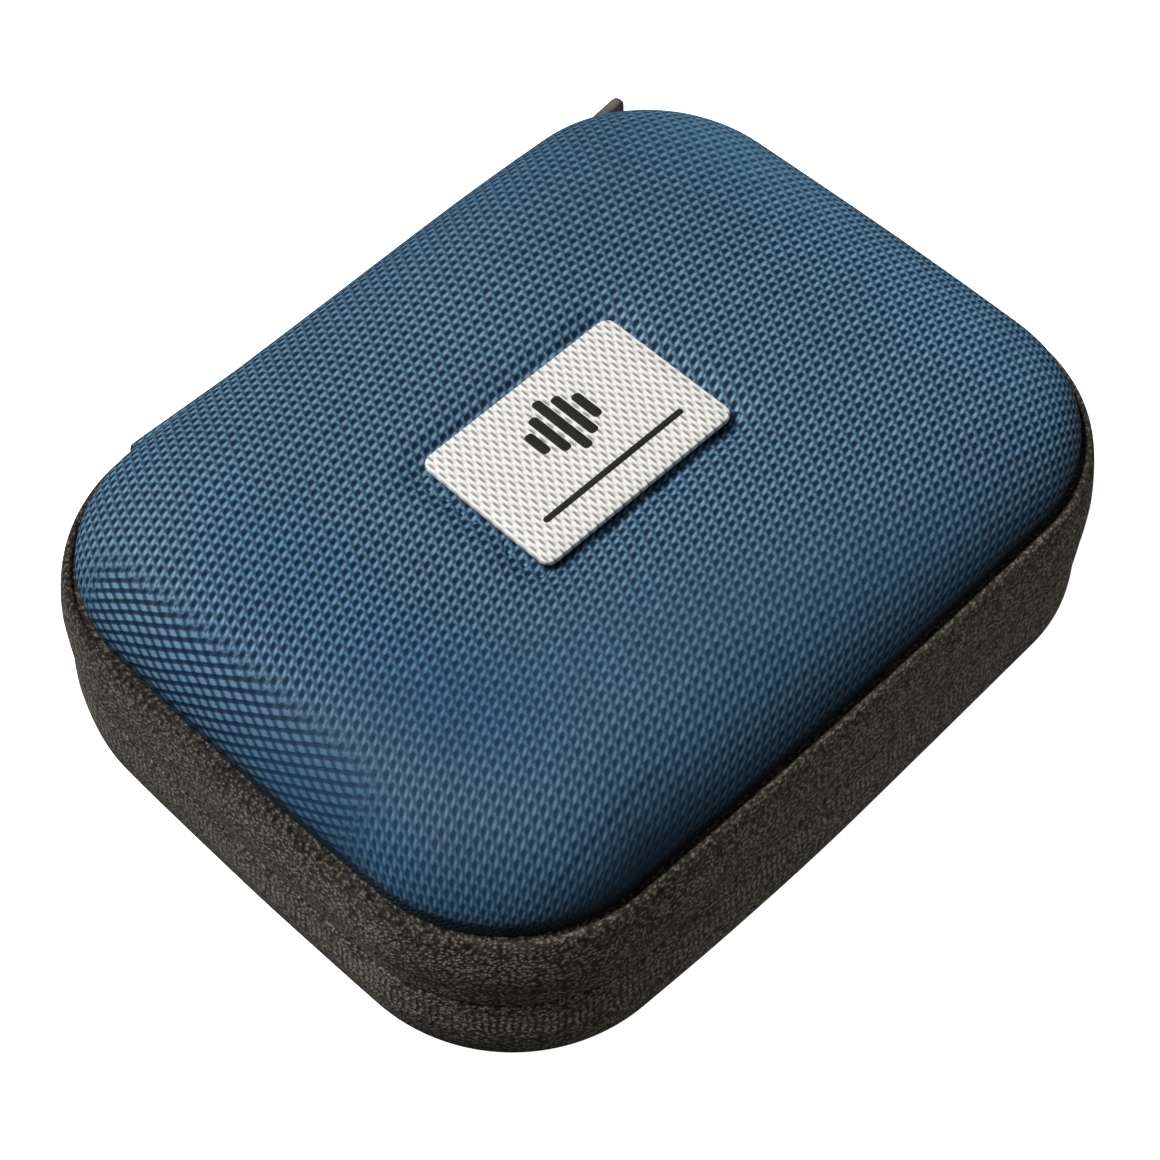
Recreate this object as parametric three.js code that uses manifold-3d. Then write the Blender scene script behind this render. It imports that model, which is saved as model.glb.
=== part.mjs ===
// Zip-up headphone carrying case: two moulded foam halves covered in woven fabric, joined by a wide
// zipper band round three sides and by a fabric hinge at the back.
// Millimetres. The origin is the centre of the flat bottom; +X runs along the long side, +Y points to
// the hinge and +Z points up.
import * as THREE from 'three';
import Module from 'manifold-3d';
import { mergeVertices } from 'three/addons/utils/BufferGeometryUtils.js';

// ---- Driving dimensions -------------------------------------------------------------------------

// Outline of the seam between a moulded half and the zipper band
const HALF_LENGTH = 55.7;
const HALF_WIDTH = 43.2;
const CORNER_RADIUS = 20.8;
const LONG_SIDE_BOW = 0.5; // how far a side stands out at its middle
const SHORT_SIDE_BOW = 0.39;
const BOW_FADE = 40; // inset at which the sides' bow would be gone
const LEAST_BOW = 0.1; // share of the bow that always stays

// Heights
const CLOSURE_Z = 23.8; // where the two zipper tapes meet
const TAPE_HEIGHT = 12.5; // one tape, from the closure to its seam
const LID_RISE = 10.2; // from the upper seam to the flat top
const BASE_DROP = CLOSURE_Z - TAPE_HEIGHT; // from the lower seam to the flat bottom

// Moulded halves
const DOME_REACH = 31.7; // how far in from the seam the wall has turned flat
const DOME_POWER = 2.18; // 2 would be an ellipse
const CORNER_SHRINK = 0.55; // how fast the corner radius falls with the inset
const SMALLEST_RADIUS = 4;
const COVER_THICKNESS = 0.8;
const FOAM_THICKNESS = 3.0;
const LINING_THICKNESS = 0.8;
const GAP = 0.3;

// Zipper band
const BAND_OFFSET = 2.07; // outer face of the tapes, outside the seam outline
const TAPE_THICKNESS = 1.2;
const TAPE_PARTING = 1.0; // clear height between the two tape edges
const TAPE_END_X = 31; // on the hinge side the tapes stop here
const SEAM_ALLOWANCE = 5.4; // tape turned in under the rim of a half
const TURNED_IN_THICKNESS = 1.0; // of that part of the tape
// The tape's shoulder, as [distance in from its face, distance below its top], outside and inside
const SHOULDER_OUTSIDE = [[1.37, 0], [0.75, 0.9], [0.31, 2.6], [0, 5]];
const SHOULDER_INSIDE = [[0, 5], [0.3, 2.6], [0.7, 1.0]];
const COIL_HEIGHT = 2.0;
const COIL_DEPTH = 1.6;

// Where the closed slider parks, the upper tape's edge is lifted so that the lid can swing clear
const PARTED_LIFT = 5.2;
const PARTED_FULL_X = 44;
const PARTED_END_X = 49;
const PARTED_COIL_X = 48; // the upper coil starts here

// Hinge
const HINGE_HALF_LENGTH = 33;
// Half of the outer strip's section, as [offset, height over the closure], from its end inwards
const HINGE_OUTSIDE = [[1.4, 12.4], [2.5, 11.6], [3.4, 9.2]];
const HINGE_INSIDE = [[1.1, 12.2], [2.1, 10.2], [2.4, 8.8]];
const HINGE_LINING_HALF_LENGTH = 30.5;
const HINGE_LINING_HALF_HEIGHT = 11.9;
const HINGE_LINING_OFFSET = 0.4;
const HINGE_LINING_THICKNESS = 0.9;

// Inner trim
const BINDING_OFFSET = -5.75;
const BINDING_LIP_OFFSET = -2.5;
const BINDING_THICKNESS = 0.8;
const BINDING_TOP = 0.7; // past the seam
const BINDING_BOTTOM = 2.4; // short of the seam
const POCKET_OFFSET = -6.9;
const POCKET_FRONT_Y = -12;
const POCKET_Z = 33.9;
const POCKET_SIDE_TRIM = 0.1; // off the net's front corners
const NET_THICKNESS = 0.6;
const ELASTIC_WIDTH = 5;
const ELASTIC_THICKNESS = 1.0;
const ELASTIC_HALF_LENGTH = 48.2;

// Badge
const BADGE_LENGTH = 31.3;
const BADGE_WIDTH = 21.3;
const BADGE_THICKNESS = 0.8;
const BADGE_CORNER = 1.5;
const BADGE_CENTRE_X = -0.5;
const BADGE_CENTRE_Y = 0.4;

// Slider and pull
const SLIDER_ANGLE = 10.8; // degrees round the corner from the hinge side
const SLIDER_LENGTH = 9;
const SLIDER_WIDTH = 8;
const SLIDER_PLATE = 1.3;
const SLIDER_STAND_OFF = 0.33;
const NECK_THICKNESS = 0.4;
const SHOE_LENGTH = 6;
const SHOE_WIDTH = 6.4;
const SHOE_THICKNESS = 1.0;
const SHOE_RADIUS = 19.2; // outer face of the inner shoe, from the corner's centre
const PULL_RADIUS = 25.75; // the pull's bar, from the corner's centre
const PULL_LENGTH = 17;
const PULL_WIDTH = 7;
const PULL_THICKNESS = 1.3;
const PULL_TILT = 5.5; // degrees out from the X axis
const PULL_WINDOW_HALF_WIDTH = 2.0;
const PULL_WINDOW_START = 0.65;
const PULL_WINDOW_END = 3.8;
const PULL_TIP_RADIUS = 1.2;
const PULL_CHAMFER = 0.7; // at the bar's end
const BRIDGE_HALF_LENGTH = 2.6;
const BRIDGE_LEG = 1.2;
const BRIDGE_HALF_WIDTH = 1.5;
const BRIDGE_TOP = 27.9; // from the corner's centre
const BRIDGE_THICKNESS = 0.9;
const BRIDGE_CHAMFER = 0.6;

// Fineness of the round shapes
const CORNER_STEPS = 7;
const DOME_STEPS = 6;

// ---- Materials ----------------------------------------------------------------------------------

const paint = (color, roughness, metalness = 0) =>
  new THREE.MeshStandardMaterial({ color, roughness, metalness });
const blueWeave = paint(0x3c5a75, 0.6);
const foam = paint(0x1d1f22, 0.9);
const liningCloth = paint(0x1b1c1f, 0.95);
const zipTape = paint(0x3a3934, 0.85);
const zipCoil = paint(0x222222, 0.5);
const net = paint(0x17181a, 0.8);
const badgePlate = paint(0xdad8d2, 0.5);
const gunmetal = paint(0x77736a, 0.35, 0.9);

// ---- The outline --------------------------------------------------------------------------------

// An outline is eight arcs: four round corners, and four sides that are very large arcs, so that a
// side bows out a little. A positive offset moves all arcs out, and a negative one makes the next
// contour of the dome, whose corners stay rounder than a true inset's.
function outlineArcs(offset) {
  const inset = Math.max(-offset, 0);
  const radius = offset >= 0
    ? CORNER_RADIUS + offset
    : Math.max(CORNER_RADIUS - CORNER_SHRINK * inset, SMALLEST_RADIUS);
  const flattening = Math.max(1 - inset / BOW_FADE, LEAST_BOW);
  const longBow = LONG_SIDE_BOW * flattening;
  const shortBow = SHORT_SIDE_BOW * flattening;
  const cornerX = HALF_LENGTH + offset - radius - shortBow;
  const cornerY = HALF_WIDTH + offset - radius - longBow;
  const longTurn = 2 * Math.atan(longBow / cornerX); // normal's turn over half a long side
  const shortTurn = 2 * Math.atan(shortBow / cornerY);
  return { radius, cornerX, cornerY, longTurn, shortTurn };
}

const CORNER = outlineArcs(0); // its centre is the same for every positive offset

// The contour's point at a station. A station names its quarter by two signs, the arc it is on, and
// its share of that arc: from short side to long side on a corner, and from the middle on a side.
function contourPoint(station, offset) {
  const { radius, cornerX, cornerY, longTurn, shortTurn } = outlineArcs(offset);
  const { signX, signY, part, share } = station;
  let x;
  let y;
  if (part === 'corner') {
    const angle = shortTurn + share * (Math.PI / 2 - longTurn - shortTurn);
    x = cornerX + radius * Math.cos(angle);
    y = cornerY + radius * Math.sin(angle);
  } else if (part === 'long') {
    const sideRadius = radius + cornerX / Math.sin(longTurn);
    x = sideRadius * Math.sin(share * longTurn);
    y = HALF_WIDTH + offset - sideRadius * (1 - Math.cos(share * longTurn));
  } else {
    const sideRadius = radius + cornerY / Math.sin(shortTurn);
    y = sideRadius * Math.sin(share * shortTurn);
    x = HALF_LENGTH + offset - sideRadius * (1 - Math.cos(share * shortTurn));
  }
  return new THREE.Vector2(signX * x, signY * y);
}

// Stations of one quarter, from the middle of a short side to the middle of a long side
function quarterStations(signX, signY) {
  const stations = [{ signX, signY, part: 'short', share: 0 }];
  for (let i = 0; i <= CORNER_STEPS; i += 1) {
    stations.push({ signX, signY, part: 'corner', share: i / CORNER_STEPS });
  }
  stations.push({ signX, signY, part: 'long', share: 0.5 });
  return stations;
}

const longMiddle = (signY) => ({ signX: 1, signY, part: 'long', share: 0 });
const halfRing = (signX) => [
  longMiddle(-1),
  ...quarterStations(signX, -1).reverse(),
  ...quarterStations(signX, 1).slice(1),
];
// All the way round, anticlockwise from the middle of the front
const RING = [...halfRing(1), longMiddle(1), ...halfRing(-1).slice(1).reverse()];

// A place on the straight back side, at a given x
const backShare = (x) => Math.asin(Math.abs(x) / (CORNER.radius + CORNER.cornerX
  / Math.sin(CORNER.longTurn))) / CORNER.longTurn;
const backStation = (x) => ({ signX: Math.sign(x) || 1, signY: 1, part: 'long', share: backShare(x) });

// Round the front, from beyond a given x on the right of the hinge to the tapes' end on its left
function openRing(rightX) {
  const right = halfRing(1).slice(0, -1).reverse();
  const left = halfRing(-1).slice(1, -1);
  const kept = right.filter((s) => s.signY < 0 || contourPoint(s, 0).x > rightX);
  return [...kept, ...left, backStation(-TAPE_END_X)];
}
const TAPE_RING = [backStation(TAPE_END_X), ...openRing(TAPE_END_X)];
const PARTED_COIL_RING = openRing(PARTED_COIL_X);

// ---- Solids -------------------------------------------------------------------------------------

const SAME_POINT = 1e-6;

function signedVolume(points, triangles) {
  return triangles.reduce((sum, [a, b, c]) => sum
    + points[a].dot(new THREE.Vector3().crossVectors(points[b], points[c])) / 6, 0);
}

// A closed solid through a row of sections, each a list of as many points. A ring's last section
// joins its first; an open row is closed by a flat cap at each end.
function solidThrough(sections, isRing, capTriangles = []) {
  const count = sections[0].length;
  const points = sections.flat();
  const triangles = [];
  const push = (a, b, c) => {
    const corners = [[a, b], [b, c], [c, a]];
    const distinct = corners.every(([p, q]) => points[p].distanceTo(points[q]) > SAME_POINT);
    if (distinct) triangles.push([a, b, c]);
  };
  const joined = isRing ? sections.length : sections.length - 1;
  for (let i = 0; i < joined; i += 1) {
    const here = i * count;
    const next = ((i + 1) % sections.length) * count;
    for (let j = 0; j < count; j += 1) {
      const k = (j + 1) % count;
      push(here + j, here + k, next + k);
      push(here + j, next + k, next + j);
    }
  }
  const last = (sections.length - 1) * count;
  for (const [a, b, c] of capTriangles) {
    triangles.push([c, b, a], [last + a, last + b, last + c]);
  }
  if (signedVolume(points, triangles) < 0) triangles.forEach((t) => t.reverse());
  const geometry = new THREE.BufferGeometry().setFromPoints(points);
  geometry.setIndex(triangles.flat());
  return mergeVertices(geometry);
}

const place = (station, [offset, z]) => {
  const { x, y } = contourPoint(station, offset);
  return new THREE.Vector3(x, y, z);
};

// A profile of [offset, z] points carried all the way round
const ringSolid = (profile) => solidThrough(
  RING.map((station) => profile.map((point) => place(station, point))),
  true,
);

// A profile carried along part of the outline; it may differ from station to station
function stripSolid(stations, profileAt) {
  const outline = profileAt(stations[0]).map(([offset, z]) => new THREE.Vector2(offset, z));
  const turn = Math.sign(THREE.ShapeUtils.area(outline));
  const capTriangles = THREE.ShapeUtils.triangulateShape(outline, []).map((triangle) => {
    const ownTurn = Math.sign(THREE.ShapeUtils.area(triangle.map((i) => outline[i])));
    return ownTurn === turn ? triangle : [...triangle].reverse();
  });
  const sections = stations.map((station) => profileAt(station).map((point) => place(station, point)));
  return solidThrough(sections, false, capTriangles);
}

// One layer of a moulded half, between two depths under the outer face. `side` is 1 for the lid and
// -1 for the base.
function domeLayer(side, rise, depth, thickness) {
  const seamZ = CLOSURE_Z + side * TAPE_HEIGHT;
  const surface = (below) => {
    const profile = [];
    for (let i = 0; i <= DOME_STEPS; i += 1) {
      const angle = (i / DOME_STEPS) * (Math.PI / 2);
      const reach = Math.cos(angle) ** (2 / DOME_POWER);
      const height = Math.sin(angle) ** (2 / DOME_POWER);
      const inset = below + (DOME_REACH - below) * (1 - reach);
      profile.push([-inset, seamZ + side * (rise - below) * height]);
    }
    return profile;
  };
  const outer = surface(depth);
  const inner = surface(depth + thickness).reverse();
  const middle = ([, z]) => new THREE.Vector3(0, 0, z);
  const sections = RING.map((station) => [
    ...outer.map((point) => place(station, point)),
    middle(outer[DOME_STEPS]),
    middle(inner[0]),
    ...inner.map((point) => place(station, point)),
  ]);
  return solidThrough(sections, true);
}

// ---- Zipper -------------------------------------------------------------------------------------

// How far the upper tape's edge is lifted at a station
function partedLift(station) {
  const { x, y } = contourPoint(station, 0);
  if (x < 0 || y < 0) return 0;
  return PARTED_LIFT * THREE.MathUtils.clamp((PARTED_END_X - x) / (PARTED_END_X - PARTED_FULL_X), 0, 1);
}

// A tape stands up from the closure, rolls in over its shoulder and runs in under the rim
function tapeProfile(side, lift) {
  const z = (fromClosure) => CLOSURE_Z + side * fromClosure;
  const edge = TAPE_PARTING / 2 + lift;
  const outer = BAND_OFFSET;
  const inner = BAND_OFFSET - TAPE_THICKNESS;
  const top = TAPE_HEIGHT - GAP;
  return [
    [-SEAM_ALLOWANCE, z(top)],
    ...SHOULDER_OUTSIDE.map(([back, below]) => [outer - back, z(top - below)]),
    [outer, z(edge)],
    [inner, z(edge)],
    ...SHOULDER_INSIDE.map(([back, below]) => [inner - back, z(top - below)]),
    [-SEAM_ALLOWANCE, z(top - TURNED_IN_THICKNESS)],
  ];
}

const coilProfile = (side) => {
  const outer = BAND_OFFSET - TAPE_THICKNESS - GAP;
  const near = CLOSURE_Z + (side * TAPE_PARTING) / 2;
  return [
    [outer, near],
    [outer, near + side * COIL_HEIGHT],
    [outer - COIL_DEPTH, near + side * COIL_HEIGHT],
    [outer - COIL_DEPTH, near],
  ];
};

// A cloth binding folded round the raw edges of the tape and the lining
const bindingProfile = (side) => {
  const z = (pastSeam) => CLOSURE_Z + side * (TAPE_HEIGHT + pastSeam);
  const outer = BINDING_OFFSET;
  const inner = BINDING_OFFSET - BINDING_THICKNESS;
  return [
    [outer, z(BINDING_TOP)],
    [inner, z(BINDING_TOP)],
    [inner, z(-BINDING_BOTTOM)],
    [BINDING_LIP_OFFSET, z(-BINDING_BOTTOM)],
    [BINDING_LIP_OFFSET, z(BINDING_THICKNESS - BINDING_BOTTOM)],
    [outer, z(BINDING_THICKNESS - BINDING_BOTTOM)],
  ];
};

// ---- Hinge --------------------------------------------------------------------------------------

const hingeStations = (halfLength) => [1, 0.5, 0, -0.5, -1].map((s) => backStation(s * halfLength));

// The outer strip laps over the tapes' ends and curves in to both seams
const above = (points) => points.map(([offset, height]) => [offset, CLOSURE_Z + height]);
const below = (points) => points.map(([offset, height]) => [offset, CLOSURE_Z - height]);
const hingeStripProfile = [
  ...above(HINGE_OUTSIDE),
  ...below(HINGE_OUTSIDE).reverse(),
  ...below(HINGE_INSIDE),
  ...above(HINGE_INSIDE).reverse(),
];
const hingeLiningFace = [
  [HINGE_LINING_OFFSET, HINGE_LINING_HALF_HEIGHT],
  [HINGE_LINING_OFFSET - HINGE_LINING_THICKNESS, HINGE_LINING_HALF_HEIGHT],
];
const hingeLiningProfile = [...below(hingeLiningFace).reverse(), ...above(hingeLiningFace)];

// ---- Pocket and badge ---------------------------------------------------------------------------

// A net sheet across the hinge side of the lid, inside the binding
function pocketNetSolid() {
  const edge = RING.map((station) => contourPoint(station, POCKET_OFFSET))
    .filter((p) => p.y > POCKET_FRONT_Y);
  const sideX = Math.max(...edge.map((p) => p.x)) - POCKET_SIDE_TRIM;
  const start = edge.findIndex((p) => p.x > 0);
  const shape = new THREE.Shape([
    new THREE.Vector2(-sideX, POCKET_FRONT_Y),
    new THREE.Vector2(sideX, POCKET_FRONT_Y),
    ...edge.slice(start),
    ...edge.slice(0, start),
  ]);
  return new THREE.ExtrudeGeometry(shape, { depth: NET_THICKNESS, bevelEnabled: false });
}

function roundedRectangle(length, width, radius) {
  const shape = new THREE.Shape();
  const x = length / 2 - radius;
  const y = width / 2 - radius;
  shape.absarc(x, y, radius, 0, Math.PI / 2);
  shape.absarc(-x, y, radius, Math.PI / 2, Math.PI);
  shape.absarc(-x, -y, radius, Math.PI, 1.5 * Math.PI);
  shape.absarc(x, -y, radius, 1.5 * Math.PI, 2 * Math.PI);
  return shape;
}

// ---- Slider and pull ----------------------------------------------------------------------------

// The slider's own frame: x along the zipper, y out of the band, z up; its origin is the corner's
// centre at closure height, turned to where the slider parks.
const sliderFrame = new THREE.Group();
sliderFrame.position.set(CORNER.cornerX, CORNER.cornerY, CLOSURE_Z);
sliderFrame.rotation.z = -THREE.MathUtils.degToRad(SLIDER_ANGLE);

function block(length, depth, height, y) {
  const geometry = new THREE.BoxGeometry(length, depth, height);
  geometry.translate(0, y + depth / 2, 0);
  return geometry;
}

const wasm = await Module();
wasm.setup();

function asManifold(geometry) {
  const bare = geometry.clone();
  bare.deleteAttribute('normal');
  bare.deleteAttribute('uv');
  const merged = mergeVertices(bare);
  return new wasm.Manifold(new wasm.Mesh({
    numProp: 3,
    vertProperties: Float32Array.from(merged.attributes.position.array),
    triVerts: Uint32Array.from(merged.index.array),
  }));
}

function joinSolids(...geometries) {
  const joined = geometries.map(asManifold).reduce((sum, solid) => sum.add(solid));
  const mesh = joined.getMesh();
  const geometry = new THREE.BufferGeometry();
  geometry.setAttribute('position', new THREE.BufferAttribute(mesh.vertProperties, 3));
  geometry.setIndex(new THREE.BufferAttribute(mesh.triVerts, 1));
  return geometry;
}

// An outer plate and a shorter inner shoe, joined by a thin neck through the parting of the tapes
function sliderBodySolid() {
  const plateInner = CORNER_RADIUS + BAND_OFFSET + SLIDER_STAND_OFF;
  const shoeInner = SHOE_RADIUS - SHOE_THICKNESS;
  const overlap = 0.2; // how far the neck runs into both
  return joinSolids(
    block(SLIDER_LENGTH, SLIDER_PLATE, SLIDER_WIDTH, plateInner),
    block(SHOE_LENGTH, SHOE_THICKNESS, SHOE_WIDTH, shoeInner),
    block(SHOE_LENGTH, plateInner - SHOE_RADIUS + 2 * overlap, NECK_THICKNESS, SHOE_RADIUS - overlap),
  );
}

// An arch over the pull's bar
function bridgeSolid() {
  const foot = CORNER_RADIUS + BAND_OFFSET + SLIDER_STAND_OFF + SLIDER_PLATE + GAP;
  const inner = BRIDGE_HALF_LENGTH - BRIDGE_LEG;
  const shape = new THREE.Shape([
    new THREE.Vector2(-BRIDGE_HALF_LENGTH, foot),
    new THREE.Vector2(-inner, foot),
    new THREE.Vector2(-inner, BRIDGE_TOP - BRIDGE_THICKNESS),
    new THREE.Vector2(inner, BRIDGE_TOP - BRIDGE_THICKNESS),
    new THREE.Vector2(inner, foot),
    new THREE.Vector2(BRIDGE_HALF_LENGTH, foot),
    new THREE.Vector2(BRIDGE_HALF_LENGTH, BRIDGE_TOP - BRIDGE_CHAMFER),
    new THREE.Vector2(BRIDGE_HALF_LENGTH - BRIDGE_CHAMFER, BRIDGE_TOP),
    new THREE.Vector2(-BRIDGE_HALF_LENGTH + BRIDGE_CHAMFER, BRIDGE_TOP),
    new THREE.Vector2(-BRIDGE_HALF_LENGTH, BRIDGE_TOP - BRIDGE_CHAMFER),
  ]);
  const geometry = new THREE.ExtrudeGeometry(shape, { depth: 2 * BRIDGE_HALF_WIDTH, bevelEnabled: false });
  geometry.translate(0, 0, -BRIDGE_HALF_WIDTH);
  return geometry;
}

// A flat tab whose end bar runs under the bridge; x along the tab from the bar, y across it
function pullSolid() {
  const half = PULL_WIDTH / 2;
  const shape = new THREE.Shape();
  const tip = PULL_LENGTH - PULL_TIP_RADIUS;
  shape.moveTo(-PULL_WINDOW_START, -half + PULL_CHAMFER);
  shape.lineTo(-PULL_WINDOW_START + PULL_CHAMFER, -half);
  shape.absarc(tip, -half + PULL_TIP_RADIUS, PULL_TIP_RADIUS, -Math.PI / 2, 0);
  shape.absarc(tip, half - PULL_TIP_RADIUS, PULL_TIP_RADIUS, 0, Math.PI / 2);
  shape.lineTo(-PULL_WINDOW_START + PULL_CHAMFER, half);
  shape.lineTo(-PULL_WINDOW_START, half - PULL_CHAMFER);
  shape.closePath();
  const w = PULL_WINDOW_HALF_WIDTH;
  shape.holes.push(new THREE.Path([
    new THREE.Vector2(PULL_WINDOW_START, -w),
    new THREE.Vector2(PULL_WINDOW_START, w),
    new THREE.Vector2(PULL_WINDOW_END, w),
    new THREE.Vector2(PULL_WINDOW_END, -w),
  ]));
  const geometry = new THREE.ExtrudeGeometry(shape, {
    depth: PULL_THICKNESS,
    bevelEnabled: false,
    curveSegments: 4,
  });
  geometry.translate(0, 0, -PULL_THICKNESS / 2);
  geometry.rotateX(Math.PI / 2);
  return geometry;
}

// ---- Assembly -----------------------------------------------------------------------------------

const assembly = new THREE.Group();

function add(name, geometry, material, parent = assembly) {
  const mesh = new THREE.Mesh(geometry, material);
  mesh.name = name;
  parent.add(mesh);
  return mesh;
}

const foamDepth = COVER_THICKNESS + GAP;
const liningDepth = foamDepth + FOAM_THICKNESS + GAP;
const halves = [
  { name: 'base', tape: 'lower', side: -1, rise: BASE_DROP, lift: () => 0, coil: TAPE_RING },
  { name: 'lid', tape: 'upper', side: 1, rise: LID_RISE, lift: partedLift, coil: PARTED_COIL_RING },
];
for (const { name, tape, side, rise, lift, coil } of halves) {
  add(`${name}_cover`, domeLayer(side, rise, 0, COVER_THICKNESS), blueWeave);
  add(`${name}_shell`, domeLayer(side, rise, foamDepth, FOAM_THICKNESS), foam);
  add(`${name}_lining`, domeLayer(side, rise, liningDepth, LINING_THICKNESS), liningCloth);
  add(`${name}_binding`, ringSolid(bindingProfile(side)), liningCloth);
  add(`${tape}_zip_tape`, stripSolid(TAPE_RING, (s) => tapeProfile(side, lift(s))), zipTape);
  add(`${tape}_zip_coil`, stripSolid(coil, () => coilProfile(side)), zipCoil);
}

add('hinge_strip', stripSolid(hingeStations(HINGE_HALF_LENGTH), () => hingeStripProfile), blueWeave);
add('hinge_lining', stripSolid(hingeStations(HINGE_LINING_HALF_LENGTH), () => hingeLiningProfile), liningCloth);

add('pocket_net', pocketNetSolid(), net).position.z = POCKET_Z;
const elastic = new THREE.BoxGeometry(2 * ELASTIC_HALF_LENGTH, ELASTIC_WIDTH, ELASTIC_THICKNESS);
add('pocket_elastic', elastic, net).position.set(
  0,
  POCKET_FRONT_Y - GAP - ELASTIC_WIDTH / 2,
  POCKET_Z + NET_THICKNESS / 2,
);

const badge = new THREE.ExtrudeGeometry(
  roundedRectangle(BADGE_LENGTH, BADGE_WIDTH, BADGE_CORNER),
  { depth: BADGE_THICKNESS, bevelEnabled: false, curveSegments: 4 },
);
add('label_badge', badge, badgePlate).position.set(
  BADGE_CENTRE_X,
  BADGE_CENTRE_Y,
  CLOSURE_Z + TAPE_HEIGHT + LID_RISE + GAP,
);

assembly.add(sliderFrame);
add('zip_slider_body', sliderBodySolid(), gunmetal, sliderFrame);
add('slider_bridge', bridgeSolid(), gunmetal, sliderFrame);

const pull = add('zip_pull_tab', pullSolid(), gunmetal, sliderFrame);
pull.position.y = PULL_RADIUS;
pull.rotation.z = THREE.MathUtils.degToRad(SLIDER_ANGLE + PULL_TILT);

export default assembly;
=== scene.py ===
"""A moulded carrying case for headphones: woven blue covers, a knitted zipper band, a cloth hinge.

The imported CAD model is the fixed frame. The pieces below stand for its soft solids and for the
slider, with their weave, grain, folds, teeth and stitches. Lengths are millimetres until a mesh is
made, and metres after that.
"""
import math

import bmesh
import bpy
import numpy as np
from mathutils import Matrix, Vector


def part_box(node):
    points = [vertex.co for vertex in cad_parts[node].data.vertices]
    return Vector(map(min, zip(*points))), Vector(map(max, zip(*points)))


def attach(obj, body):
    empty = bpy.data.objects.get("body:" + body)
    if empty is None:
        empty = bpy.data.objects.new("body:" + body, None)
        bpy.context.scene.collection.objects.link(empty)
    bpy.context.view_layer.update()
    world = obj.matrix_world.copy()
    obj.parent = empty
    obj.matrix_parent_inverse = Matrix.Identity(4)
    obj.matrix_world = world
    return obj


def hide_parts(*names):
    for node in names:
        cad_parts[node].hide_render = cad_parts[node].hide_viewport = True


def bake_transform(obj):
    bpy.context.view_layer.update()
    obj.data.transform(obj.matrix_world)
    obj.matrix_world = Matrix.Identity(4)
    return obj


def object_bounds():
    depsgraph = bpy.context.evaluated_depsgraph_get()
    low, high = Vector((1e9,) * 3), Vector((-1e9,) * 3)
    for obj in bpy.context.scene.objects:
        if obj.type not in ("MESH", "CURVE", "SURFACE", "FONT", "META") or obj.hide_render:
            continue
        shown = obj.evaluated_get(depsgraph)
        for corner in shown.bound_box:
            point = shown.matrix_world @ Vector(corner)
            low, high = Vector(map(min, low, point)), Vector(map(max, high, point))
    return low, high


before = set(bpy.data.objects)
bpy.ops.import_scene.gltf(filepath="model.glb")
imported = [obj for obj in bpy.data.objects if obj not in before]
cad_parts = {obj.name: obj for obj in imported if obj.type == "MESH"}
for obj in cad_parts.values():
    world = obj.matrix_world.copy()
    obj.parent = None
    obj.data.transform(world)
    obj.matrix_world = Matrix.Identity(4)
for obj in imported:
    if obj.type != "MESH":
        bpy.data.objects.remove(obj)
cad_low, cad_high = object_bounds()

MM = 0.001

# ---- Driving dimensions, as in the CAD source

HALF_LENGTH = 55.7
HALF_WIDTH = 43.2
CORNER_RADIUS = 20.8
LONG_SIDE_BOW = 0.5
SHORT_SIDE_BOW = 0.39
CORNER_SHRINK = 0.55
SMALLEST_RADIUS = 4
BOW_FADE = 40  # inset at which the sides' bow would be gone

CLOSURE_Z = 23.8
TAPE_HEIGHT = 12.5
LID_RISE = 10.2
BASE_RISE = 11.3
DOME_REACH = 31.7
DOME_POWER = 2.18
COVER_THICKNESS = 0.8
FOAM_DEPTH = 1.1
FOAM_THICKNESS = 3.0
LINING_DEPTH = 4.4
LINING_THICKNESS = 0.8

BAND_OFFSET = 2.07
TAPE_END_X = 31
FLANGE_INSET = 5.4
LIP_GAP = 0.12  # half the clear height between the rolled lips of the two tapes
PARTED_LIFT = 5.2
PARTED_FULL_X = 44
PARTED_END_X = 49

HINGE_HALF_LENGTH = 33

BADGE_CENTRE = (-0.5, 0.4)
BADGE_SIZE = (31.3, 21.3)
BADGE_CORNER = 1.5
BADGE_TOP = 47.15

SLIDER_ANGLE = 10.8
PULL_TILT = 5.5
PULL_LENGTH = 17
PULL_RADIUS = 25.75


# ---- Outline

def outline(offset):
    """Corner radius, corner centre and the sides' turns of the contour at an offset from the seam."""
    offset = np.asarray(offset, float)
    inset = np.maximum(-offset, 0)
    shrunk = np.maximum(CORNER_RADIUS - CORNER_SHRINK * inset, SMALLEST_RADIUS)
    radius = np.where(offset >= 0, CORNER_RADIUS + offset, shrunk)
    fade = np.maximum(1 - inset / BOW_FADE, 0.1)
    long_bow, short_bow = LONG_SIDE_BOW * fade, SHORT_SIDE_BOW * fade
    corner_x = HALF_LENGTH + offset - radius - short_bow
    corner_y = HALF_WIDTH + offset - radius - long_bow
    long_turn = 2 * np.arctan(long_bow / corner_x)
    short_turn = 2 * np.arctan(short_bow / corner_y)
    return radius, corner_x, corner_y, long_turn, short_turn


SHORT, CORNER, LONG = 0, 1, 2


def quarter(short_steps, corner_steps, long_steps):
    """Stations of one quarter, (arc, share of it), from the middle of a short side to that of a long."""
    stations = [(SHORT, i / short_steps) for i in range(short_steps)]
    stations += [(CORNER, i / corner_steps) for i in range(corner_steps)]
    stations += [(LONG, 1 - i / long_steps) for i in range(long_steps + 1)]
    return np.array(stations)


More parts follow.
